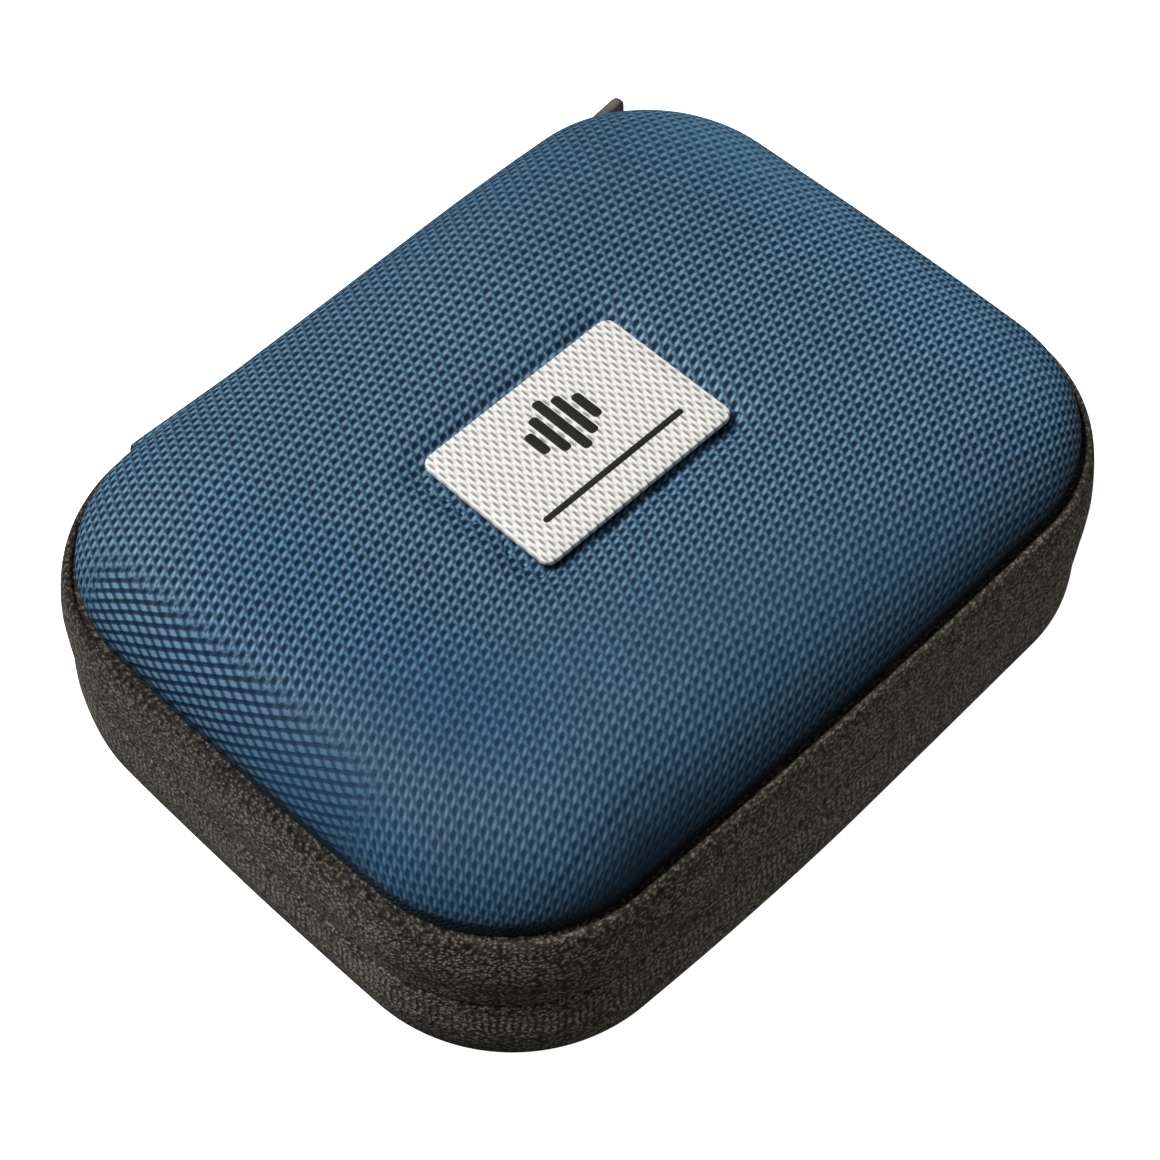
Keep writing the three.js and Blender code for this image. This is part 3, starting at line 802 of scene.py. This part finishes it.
def cover(name, side, rise, body, node):
    """The woven skin of a half: face, tuck at the seam and a plain inner side."""
    outer = np.concatenate([TUCK, dome_profile(0, rise, 62)])
    pinch = PINCH * np.exp(-(outer[:, 1] / PINCH_REACH) ** 2)
    share, inward = np.linspace(0, 1, 19)[1:], np.linspace(1, 0, 5)[1:]

    def filled(line, size):
        # from the crest in to the badge's outline, then to the middle
        crest = line[:, -1:]
        edge = np.minimum(crest, size / 2 - 1)
        return np.concatenate([line, crest + (edge - crest) * share, edge * inward], 1)

    x, y = map(filled, contour(FINE, -outer[:, 0] - pinch), BADGE_SIZE)
    index, sign_x, sign_y = RING.T
    sign_x, sign_y = sign_x[:, None], sign_y[:, None]
    x, y = x[index] * sign_x, y[index] * sign_y
    up = np.append(outer[:, 1], np.full(len(share) + len(inward), rise))
    up = np.broadcast_to(up, x.shape)
    if side > 0:
        up = up + rim(x, y) * (up > 0)
    along, across = thread_lengths(x.ravel(), y.ravel(), up.ravel(), side, rise)
    below = np.minimum(up, 0)
    along, across = along.reshape(x.shape) - below, across.reshape(x.shape) - below
    cloth = np.stack([along * sign_x, across * sign_y + ROW_BOW * x ** 2, up], -1)
    if side > 0:
        up = up - recess(x, y) * (up > rise - 3)
    points = np.stack([x, y, CLOSURE_Z + side * TAPE_HEIGHT + side * up], -1)
    inner = inner_face(side, rise, COVER_THICKNESS, rise - 3, 14)[:, ::-1]
    points = np.concatenate([inner, points], 1)
    cloth = np.concatenate([inner * (1, 1, 0) + (0, 0, SHADE_FREE_HEIGHT), cloth], 1)
    piece = grid_object(name, points, close_rows=True, cloth=cloth)
    finish_piece(piece, BLUE, "blue_weave", body, node)
    return piece


def dome_layer(name, side, rise, depth, thickness):
    """A closed layer of a half under its cover."""
    top = rise - depth - thickness - 1
    near, far = (inner_face(side, rise, below, top, 26, COARSE, COARSE_RING)
                 for below in (depth, depth + thickness))
    return grid_object(name, np.concatenate([near[:, ::-1], far], 1), close_rows=True)


COARSE = quarter(10, 16, 14)
COARSE_RING = all_round(len(COARSE))

halves = [("base", -1, BASE_RISE), ("lid", 1, LID_RISE)]
for body, side, rise in halves:
    layer = dome_layer(f"{body}_foam", side, rise, FOAM_DEPTH, FOAM_THICKNESS)
    finish_piece(layer, FOAM, "foam", body, f"{body}_shell")
    cover(f"{body}_cover_cloth", side, rise, body, f"{body}_cover")
    layer = dome_layer(f"{body}_lining_cloth", side, rise, LINING_DEPTH, LINING_THICKNESS)
    finish_piece(layer, LINING, "lining", body, f"{body}_lining")


# ---- Zipper band

def spline(points, steps):
    """A smooth open line of even steps through points, by Catmull and Rom."""
    points = np.asarray(points, float)
    padded = np.concatenate([[2 * points[0] - points[1]], points, [2 * points[-1] - points[-2]]])
    t = np.linspace(0, 1, 12, endpoint=False)[:, None]
    parts = []
    for a, b, c, d in zip(padded, padded[1:], padded[2:], padded[3:]):
        parts.append(0.5 * (2 * b + (c - a) * t + (2 * a - 5 * b + 4 * c - d) * t ** 2
                            + (3 * b - a - 3 * c + d) * t ** 3))
    return evenly(np.concatenate([*parts, points[-1:]]), steps)


# From the rolled lip at the closure, up the face, over the shoulder and down into the seam's groove
TAPE_FACE = spline([(1.05, 0.6), (1.35, 0.26), (1.75, LIP_GAP), (2.0, 0.26), (2.1, 0.8), (2.14, 2.6),
                    (2.13, 5.0), (2.07, 7.4), (1.9, 9.5), (1.62, 11.2), (1.25, 12.15), (0.85, 12.42),
                    (0.5, 12.2), (0.3, 11.75), (0.1, 11.62), (-0.6, 11.6)], 56)
TAPE_INSIDE = np.array([(-FLANGE_INSET, 11.6), (-FLANGE_INSET, 11.2), (-0.3, 11.2), (0.35, 11.0),
                        (0.6, 9.6), (0.87, 7.2), (0.87, 1.6)])


def parted_lift(x, y):
    """How far the upper tape's edge is lifted, right of the hinge, where the zipper is open."""
    share = np.clip((PARTED_END_X - x) / (PARTED_END_X - PARTED_FULL_X), 0, 1)
    return PARTED_LIFT * (3 * share ** 2 - 2 * share ** 3) * ((x > 0) & (y > 0))


LIP_POINT = 8  # TAPE_FACE's point where the visible face begins
FACE_POINT = 20  # and one on the face, along which the tape's length is measured
LIFT_END = TAPE_HEIGHT - 2  # height of the face that a lifted edge leaves alone
NEAR_CORNER = (0.7, 0.7)  # ways to look from outside at places where the band swells or sinks
RIGHT_END = (0.8, -0.6)
FRONT_SIDE = (0.35, 0.94)


def tape(name, side, body, node):
    """Half of the zipper band, turned in at the seam and swelling a little along its face."""
    profile = np.concatenate([TAPE_FACE, TAPE_INSIDE])
    rows = open_rows(TAPE_END_X)
    points = ring_points(profile, rows=rows)
    lift = parted_lift(points[:, :1, 0], points[:, :1, 1]) if side > 0 else np.zeros((len(rows), 1))
    up = points[..., 2]
    # the lifted edge gathers the face above it, and the shoulder stays
    raised = up + lift * np.clip((LIFT_END - up) / LIFT_END, 0, 1) ** 1.2
    run = run_length(points[:, FACE_POINT, :2])
    girth = run_length(profile)
    girth -= girth[LIP_POINT]
    sag = 0.16 * np.sin(run * 0.11 + 1) + 0.1 * np.sin(run * 0.29)
    height = profile[:, 1]
    on_face = np.arange(len(profile)) < len(TAPE_FACE)
    middle = np.clip(1 - np.abs(height - 6) / 6, 0, 1) * on_face
    normal = points[..., :2] / np.linalg.norm(points[..., :2], axis=-1, keepdims=True)
    near_corner = np.clip(-normal @ NEAR_CORNER, 0, 1) ** 4
    bulge = (0.2 if side > 0 else 0.25) + 0.35 * near_corner + sag[:, None]
    if side < 0:
        bulge -= 0.9 * np.clip(normal @ RIGHT_END, 0, 1) ** 6
        low = np.clip((height - 2) / 6, 0, 1) * (profile[:, 0] > 0.5) * on_face
        points[..., :2] += normal * (0.75 * np.clip(-normal @ FRONT_SIDE, 0, 1) ** 4 * low)[..., None]
    points[..., :2] += normal * (bulge * middle)[..., None]
    points[..., 2] = CLOSURE_Z + side * raised
    cloth = lattice(run[:, None], girth, (side + 1) / 2)
    piece = grid_object(name, points, close_columns=True, caps=True, cloth=cloth)
    finish_piece(piece, TAPE, "zip_tape", body, node)
    return piece


COIL_OFFSET = -0.25
TOOTH_SIZE = (2.3, 0.85, 1.6)
TOOTH_PITCH = 1.5
TOOTH_START = 0.8
TOOTH_Z = 1.35  # from the closure, as is the cord's
CORD_Z = 1.9
CORD_RADIUS = 0.45


def coil(name, side, body, node):
    """Moulded teeth along a tape's edge, over a core cord."""
    rows = open_rows(PARTED_END_X if side > 0 else TAPE_END_X)
    line = ring_points([(COIL_OFFSET, 0)], rows=rows)[:, 0]
    run = run_length(line)
    first = TOOTH_START + (TOOTH_PITCH / 2 if side > 0 else 0)  # the two rows mesh
    places = []
    for s in np.arange(first, run[-1] - 0.6, TOOTH_PITCH):
        here, ahead = along_line(line[:, :2], run, s, s + 0.2)
        direction = np.array([*(ahead - here), 0])
        centre = (*here, CLOSURE_Z + side * TOOTH_Z)
        places.append(placed(centre, (0, 0, 1), np.cross(direction, (0, 0, 1))))
    piece = many(name, *capsule(*TOOTH_SIZE), places)
    a = np.linspace(0, 2 * math.pi, 8, endpoint=False)
    core = np.stack([COIL_OFFSET + CORD_RADIUS * np.cos(a),
                     CLOSURE_Z + side * (CORD_Z + CORD_RADIUS * np.sin(a))], -1)
    cord = grid_object(f"{name}_core", ring_points(core, rows=rows), close_columns=True, caps=True)
    finish_piece(piece, COIL, "zip_coil", body, node)
    finish_piece(cord, COIL, "zip_coil", body)


def binding(name, side, body, node):
    """A folded binding round the raw edges inside the rim."""
    profile = spline([(-2.5, 10.15), (-5.5, 10.1), (-5.85, 10.3), (-5.8, 13.0), (-6.15, 13.2), (-6.5, 13.0),
                      (-6.55, 10.4), (-6.3, 9.55), (-5.6, 9.4), (-2.6, 9.4), (-2.4, 9.75)], 40)
    profile[:, 1] = CLOSURE_Z + side * profile[:, 1]
    points = ring_points(profile)
    cloth = lattice(run_length(points[:, 0, :2])[:, None], run_length(profile), 0.0)
    piece = grid_object(name, points, close_rows=True, close_columns=True, cloth=cloth)
    finish_piece(piece, BINDING, "binding", body, node)


for body, side, _ in halves:
    tape_word = "upper" if side > 0 else "lower"
    binding(f"{body}_binding_tape", side, body, f"{body}_binding")
    tape(f"{tape_word}_tape_cloth", side, body, f"{tape_word}_zip_tape")
    coil(f"{tape_word}_coil_teeth", side, body, f"{tape_word}_zip_coil")


# ---- Cloth hinge

def back_rows(half_length, steps):
    """Stations along the straight back side, from right to left, with their signs."""
    radius, corner_x, _, long_turn, _ = (float(v) for v in outline(0))
    x = np.linspace(half_length, -half_length, steps)
    share = np.arcsin(np.abs(x) / (radius + corner_x / math.sin(long_turn))) / long_turn
    stations = np.stack([np.full(steps, LONG), share], -1)
    rows = np.stack([np.arange(steps), np.where(x < 0, -1, 1), np.ones(steps, int)], -1)
    return stations, rows


STRIP_DRAWN_IN = 1.0  # how far the strip's middle lies in from its ends


def hinge_piece(name, half_length, profile, steps, material, slot, node, drawn_in=0.0):
    """A cloth across the hinge, from a profile round its section, between the halves."""
    stations, rows = back_rows(half_length, steps)
    points = ring_points(profile, stations, rows)
    points[..., 1] -= drawn_in * np.cos(points[..., 0] / half_length * math.pi / 2)
    cloth = lattice(points[..., 0], run_length(profile), SHADE_FREE_HEIGHT)
    piece = grid_object(name, points, close_columns=True, caps=True, cloth=cloth)
    finish_piece(piece, material, slot, None, node)
    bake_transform(piece)
    return piece


strip_outside = spline([(1.3, 36.25), (2.1, 35.85), (2.9, 34.6), (3.35, 32.6), (3.4, 28.0), (3.36, 23.8),
                        (3.4, 19.6), (3.35, 15.0), (2.9, 13.0), (2.1, 11.75), (1.3, 11.35)], 64)
strip_inside = spline([(1.1, 11.6), (2.1, 13.4), (2.45, 15.2), (2.45, 23.8), (2.45, 32.4), (2.1, 34.2),
                       (1.1, 36.0)], 52)
strip_profile = np.concatenate([strip_outside, strip_inside])
strip = hinge_piece("hinge_strip_cloth", HINGE_HALF_LENGTH, strip_profile, 90, BLUE, "blue_weave",
                    "hinge_strip", STRIP_DRAWN_IN)
liner_outside = np.stack([np.full(50, 0.4), np.linspace(35.7, 11.9, 50)], -1)
liner_inside = np.stack([np.full(50, -0.45), np.linspace(11.9, 35.7, 50)], -1)
liner_profile = np.concatenate([liner_outside, liner_inside])
liner = hinge_piece("hinge_lining_cloth", TAPE_END_X - 0.5, liner_profile, 40, LINING, "lining",
                    "hinge_lining")


def stitches(name, line, normal, pitch, length, body, thickness=0.32):
    """A row of thread stitches along a line of points; normal points out of the cloth."""
    line = np.asarray(line, float)
    run = run_length(line)
    places = []
    for s in np.arange(pitch / 2, run[-1] - pitch / 3, pitch):
        here, ahead = along_line(line, run, s, s + 0.3)
        places.append(placed(here, ahead - here, normal))
    piece = many(name, *capsule(length, thickness, thickness, 6, 5), places)
    return finish_piece(piece, THREAD, "binding", body)


for body, side, _ in halves:
    stations, rows = back_rows(HINGE_HALF_LENGTH - 1.6, 24)
    seam_line = ring_points([(3.3, CLOSURE_Z + side * 9.6)], stations, rows)[:, 0]
    seam_line[:, 1] -= np.cos(seam_line[:, 0] / HINGE_HALF_LENGTH * math.pi / 2)
    stitches(f"{body}_hinge_stitches", seam_line, (0, 1, 0.3 * side), 2.4, 1.9, body)


# ---- Lid pocket

net_low, net_high = (np.array(c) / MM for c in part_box("pocket_net"))
elastic_low, elastic_high = (np.array(c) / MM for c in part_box("pocket_elastic"))


NET_CELL = 1.7
NET_STRAND = 0.52
NET_THICKNESS = 0.32
NET_INSET = 7.1  # of the net's outline from the seam's


def pocket_net(hem):
    """A knitted net: square holes in a thin sheet, cut to the pocket's outline, sagging a little."""
    half, hole = NET_CELL / 2, (NET_CELL - NET_STRAND) / 2
    across = np.arange(net_low[0] + 0.5, net_high[0] - 0.5 - NET_CELL, NET_CELL) + half
    back = np.arange(net_low[1] + 0.2, net_high[1] - 0.3 - NET_CELL, NET_CELL) + half
    points, faces = [], []
    corners = [(-1, -1), (1, -1), (1, 1), (-1, 1)]
    reach = NET_CELL * 0.7  # from a cell's middle to its corners
    for x in across:
        for y in back:
            if inset_at(np.array([abs(x) + reach]), np.array([max(y, 0) + reach]))[0] < NET_INSET:
                continue
            start = len(points)
            points += [(x + a * size, y + b * size, z) for z in (NET_THICKNESS / 2, -NET_THICKNESS / 2)
                       for size in (half, hole) for a, b in corners]
            for k in range(4):
                n = (k + 1) % 4
                around = [(k, n, 4 + n, 4 + k), (8 + n, 8 + k, 12 + k, 12 + n),
                          (4 + k, 4 + n, 12 + n, 12 + k)]
                faces += [[start + i for i in face] for face in around]
    points = np.array(points)
    middle = (net_low[2] + net_high[2]) / 2
    sag = 0.9 * np.cos(points[:, 0] / 55) * np.cos((points[:, 1] - 12) / 32)
    points[:, 2] += middle + 0.2 + sag * 0.4
    piece = make_object("pocket_net_mesh", points, faces)
    finish_piece(piece, NET, "pocket_net", "lid", "pocket_net")


def elastic_band():
    """The gathered elastic along the pocket's mouth, with the thread that holds it."""
    x = np.linspace(elastic_low[0], elastic_high[0], 240)
    width, middle_y = elastic_high[1] - elastic_low[1], (elastic_high[1] + elastic_low[1]) / 2
    flat_y, flat_z = squircle(24, 0.35, 0.6)
    flat_y, flat_z = flat_y * width / 2, flat_z * 0.42
    gather = 0.05 * np.sin(x * 2 * math.pi / 1.5)
    middle_z = (elastic_low[2] + elastic_high[2]) / 2
    points = lattice(x[:, None], middle_y + flat_y, middle_z + flat_z * (1 + gather[:, None] * 2))
    cloth = lattice(x[:, None], flat_y, 0.0)
    piece = grid_object("pocket_elastic_band", points, close_columns=True, caps=True, cloth=cloth)
    finish_piece(piece, ELASTIC, "pocket_net", "lid", "pocket_elastic")
    line = [(end, elastic_high[1] - 0.9, elastic_low[2] + 0.02) for end in (x[0] + 1, x[-1] - 1)]
    return [piece, stitches("pocket_stitches", line, (0, 0, -1), 2.2, 1.7, "lid", 0.26)]


pocket_net(elastic_band())

# ---- Badge

def rounded(length, width, radius, steps=6, centre=(0, 0)):
    """Points round a rectangle with round corners, anticlockwise."""
    out = []
    for k, (sx, sy) in enumerate([(1, 1), (-1, 1), (-1, -1), (1, -1)]):
        for a in np.linspace(k, k + 1, steps + 1) * math.pi / 2:
            out.append((centre[0] + sx * (length / 2 - radius) + radius * math.cos(a),
                        centre[1] + sy * (width / 2 - radius) + radius * math.sin(a)))
    return np.array(out)


def slab(name, shape, low, high, bevel, place=None, cloth=False, rings=0):
    """A flat piece with rounded edges: a closed outline between two heights."""
    centre = shape.mean(0)
    size = np.abs(shape - centre).max()

    def loop(inset, z):
        return np.insert(centre + (shape - centre) * (1 - inset / size), 2, z, axis=1)

    loops = [loop(bevel, low), loop(bevel * 0.3, low + bevel * 0.3), loop(0, low + bevel),
             loop(0, high - bevel), loop(bevel * 0.3, high - bevel * 0.3), loop(bevel, high)]
    for k in range(rings):
        loops.append(loop(bevel + (size - bevel) * (k + 1) / (rings + 1), high))
    points = np.stack(loops)
    if place is not None:
        points = moved(points, place)
    attribute = points * (1, 1, 0) if cloth else None
    return grid_object(name, points, close_columns=True, caps=True, cloth=attribute)


badge_shape = rounded(*BADGE_SIZE, BADGE_CORNER, 6, BADGE_CENTRE)
badge = slab("label_badge_cloth", badge_shape, BADGE_TOP - 0.85, BADGE_TOP, 0.22, cloth=True, rings=6)
finish_piece(badge, BADGE, "badge", "lid", "label_badge")

# A plain motif: a row of sound-level bars over a rule
BARS_CENTRE = (-0.5, 3.1)
BAR_HEIGHTS = [3.6, 6.4, 9.4, 7.2, 4.4]
BAR_WIDTH = 1.35
BAR_PITCH = 2.05
RULE_CENTRE = (-0.5, -5.5)
RULE_SIZE = (23, 0.8)


def printed(name, length, width, radius, centre):
    """A patch of ink on the badge."""
    shape = rounded(length, width, radius, 4, centre)
    finish_piece(slab(name, shape, BADGE_TOP - 0.1, BADGE_TOP + 0.07, 0.03), INK, "badge", "lid")


for k, tall in enumerate(BAR_HEIGHTS):
    x = BARS_CENTRE[0] + (k - (len(BAR_HEIGHTS) - 1) / 2) * BAR_PITCH
    printed(f"badge_bar_{k + 1}", BAR_WIDTH, tall, 0.5, (x, BARS_CENTRE[1]))
printed("badge_rule", *RULE_SIZE, 0.35, RULE_CENTRE)


# ---- Slider and pull

_, corner_x0, corner_y0, _, _ = (float(v) for v in outline(0))
turn = math.radians(SLIDER_ANGLE)
ALONG = np.array([math.cos(turn), -math.sin(turn), 0])
OUT = np.array([math.sin(turn), math.cos(turn), 0])
CENTRE = np.array([corner_x0, corner_y0, CLOSURE_Z])


def slider_place(out):
    """Local x along the zipper, y up, z out of the band, at a distance from the corner's centre."""
    return axes(CENTRE + OUT * out, -ALONG, (0, 0, 1), OUT)


def slider_outline(length, width, nose):
    """A slider's shield shape: blunt at one end, narrowing to a rounded nose at the other."""
    half = length / 2
    points = spline([(-half, 0), (-half + 0.1, width * 0.36), (-half + 0.7, width / 2),
                     (0.3 * half, width / 2), (0.8 * half, nose / 2 + 0.25), (half, nose * 0.28),
                     (half, 0)], 16)
    return np.concatenate([points[:-1], points[1:][::-1] * (1, -1)])[::-1]


plate_inner = CORNER_RADIUS + BAND_OFFSET + 0.33
for name, shape, start, depth, bevel, rings, *node in [
        ("zip_slider_plate", slider_outline(9, 8, 5.4), plate_inner, 1.3, 0.35, 2, "zip_slider_body"),
        ("zip_slider_shoe", slider_outline(6, 6.4, 5), 18.2, 1, 0.25, 1),
        ("zip_slider_neck", rounded(5.4, 0.2, 0.08, 3), 19, plate_inner - 18.9, 0.05, 0)]:
    piece = slab(name, shape, 0, depth, bevel, slider_place(start), rings=rings)
    finish_piece(piece, GUNMETAL, "gunmetal", "slider", *node)


def sweep(name, path, side, width, thickness):
    """A flat rounded bar bent along a path in millimetres; side is the direction of its width."""
    path = np.asarray(path, float)
    tangent = np.gradient(path, axis=0)
    tangent /= np.linalg.norm(tangent, axis=1, keepdims=True)
    normal = np.cross(tangent, side)
    wide, thick = squircle(16, 0.5, 0.5)
    points = path[:, None] + np.asarray(side) * (wide * width / 2)[:, None]
    points = points + normal[:, None] * (thick * thickness / 2)[:, None]
    return grid_object(name, points, close_columns=True, caps=True)


foot = plate_inner + 1.2
arch = spline([(-2.1, foot), (-2.1, 26.2), (-1.9, 27.0), (-1.2, 27.4), (0, 27.45), (1.2, 27.4), (1.9, 27.0),
               (2.1, 26.2), (2.1, foot)], 36)
arch = CENTRE + arch[:, :1] * ALONG + arch[:, 1:] * OUT
bridge = sweep("slider_bridge_arch", arch, (0, 0, 1), 3.0, 0.9)
finish_piece(bridge, GUNMETAL, "gunmetal", "slider", "slider_bridge")


PULL_WIDTH = 7
PULL_THICKNESS = 1.3
PULL_HEAD = 0.65  # its length behind the bar it hangs on
WINDOW_SIZE = (3.15, 4)
WINDOW_X = 2.225
RIDGE_SIZE = (4.6, 0.7, 0.5)
RIDGE_START, RIDGE_PITCH, RIDGE_COUNT = 9.5, 1.5, 4


def pull_tab():
    """A flat tab with a window for its bar and grip ridges near its tip."""
    tilt = math.radians(PULL_TILT)
    along = np.array([math.cos(tilt), math.sin(tilt), 0])
    out = np.array([-math.sin(tilt), math.cos(tilt), 0])
    matrix = axes(CENTRE + OUT * PULL_RADIUS, along, (0, 0, -1), out)
    outer = rounded(PULL_LENGTH + PULL_HEAD, PULL_WIDTH, 1.2, 7, ((PULL_LENGTH - PULL_HEAD) / 2, 0))
    window = rounded(*WINDOW_SIZE, 0.5, 7, (WINDOW_X, 0))

    def loop(shape, grow, z):
        centre = (shape.max(0) + shape.min(0)) / 2
        half = (shape.max(0) - shape.min(0)) / 2
        return np.insert(centre + (shape - centre) * (1 + grow / half), 2, z, axis=1)

    half = PULL_THICKNESS / 2
    # from the window's middle over the near face and the edge, and back over the far face
    front = [(window, 0.04, half - 0.15), (window, 0.2, half), (outer, -0.75, half),
             (outer, -0.22, half), (outer, -0.05, half - 0.2)]
    behind = [(shape, grow, -z) for shape, grow, z in reversed(front)]
    loops = [loop(*turn) for turn in [(window, 0, 0), *front, (outer, 0, 0), *behind]]
    points = moved(np.stack(loops), matrix)
    tab = grid_object("zip_pull_tab_metal", points, close_rows=True, close_columns=True)
    finish_piece(tab, GUNMETAL, "gunmetal", "pull", "zip_pull_tab")
    places = []
    for face in (1, -1):
        for k in range(RIDGE_COUNT):
            spot = moved((RIDGE_START + RIDGE_PITCH * k, 0, face * half), matrix)
            places.append(placed(spot, (0, 0, 1), out * face))
    ridges = many("zip_pull_ridges", *capsule(*RIDGE_SIZE), places)
    finish_piece(ridges, GUNMETAL, "gunmetal", "pull")


pull_tab()

# ---- Floor, light and camera

scene = bpy.context.scene


FLOOR_HALF = 12
FLOOR_GAP = 0.0002


def floor():
    """A plain pale floor, just below the case."""
    g = Graph("floor", roughness=0.9, Emission_Color=(1, 1, 1, 1), Emission_Strength=1.0)
    speckle = g.noise(g.place(), 900, 2)
    g.paint(g.ramp(speckle, (0.3, 248, 248, 248), (0.7, 252, 252, 252)))
    g.bump(speckle, 0.02)
    mesh = bpy.data.meshes.new("floor")
    corners = [(x * FLOOR_HALF, y * FLOOR_HALF, 0) for x, y in ((-1, -1), (1, -1), (1, 1), (-1, 1))]
    mesh.from_pydata(corners, [], [(0, 1, 2, 3)])
    piece = bpy.data.objects.new("floor", mesh)
    piece.location.z = cad_low.z - FLOOR_GAP
    scene.collection.objects.link(piece)
    piece.data.materials.append(g.material)
    piece.visible_diffuse = False  # its bounce would flatten the shaded sides
    piece.visible_glossy = False


LIGHT_TARGET = Vector((0, 0, 0.03))


def soft_light(name, power, side, position):
    """A square lamp that faces the case."""
    lamp = bpy.data.lights.new(name, "AREA")
    lamp.shape = "RECTANGLE"
    lamp.size = lamp.size_y = side
    lamp.energy = power
    piece = bpy.data.objects.new(name, lamp)
    piece.location = position
    piece.rotation_euler = (LIGHT_TARGET - Vector(position)).to_track_quat("-Z", "Y").to_euler()
    scene.collection.objects.link(piece)


floor()
soft_light("key_light", power=29, side=0.6, position=(-0.58, 0.55, 1.42))
soft_light("fill_light", power=0.6, side=0.5, position=(0.45, -0.75, 0.3))
SKY_STRENGTH = 0.075
world = bpy.data.worlds.new("studio")
world.use_nodes = True
background = world.node_tree.nodes["Background"].inputs
background["Color"].default_value = (1, 1, 1, 1)
background["Strength"].default_value = SKY_STRENGTH
scene.world = world
scene.view_settings.view_transform = "Standard"

CAMERA_PLACE = (-0.15603, -0.15804, 0.33377)
CAMERA_ELEVATION = 54.898
CAMERA_AZIMUTH = -44.454
CAMERA_ROLL = -0.888
CAMERA_LENS = 95.5
SENSOR_WIDTH = 36
azimuth, elevation, roll = (math.radians(a) for a in (CAMERA_AZIMUTH, CAMERA_ELEVATION, CAMERA_ROLL))
back = Vector((math.sin(azimuth) * math.cos(elevation), -math.cos(azimuth) * math.cos(elevation),
               math.sin(elevation)))
right = (-back).cross(Vector((0, 0, 1))).normalized()
up = right.cross(-back)
rolled_right = math.cos(roll) * right + math.sin(roll) * up
rolled_up = -math.sin(roll) * right + math.cos(roll) * up
camera_data = bpy.data.cameras.new("camera")
camera_data.lens = CAMERA_LENS
camera_data.sensor_width = SENSOR_WIDTH
camera = bpy.data.objects.new("camera", camera_data)
turned = Matrix((rolled_right, rolled_up, back)).transposed().to_4x4()
camera.matrix_world = Matrix.Translation(CAMERA_PLACE) @ turned
camera_data.clip_start = 0.01
scene.collection.objects.link(camera)
scene.camera = camera
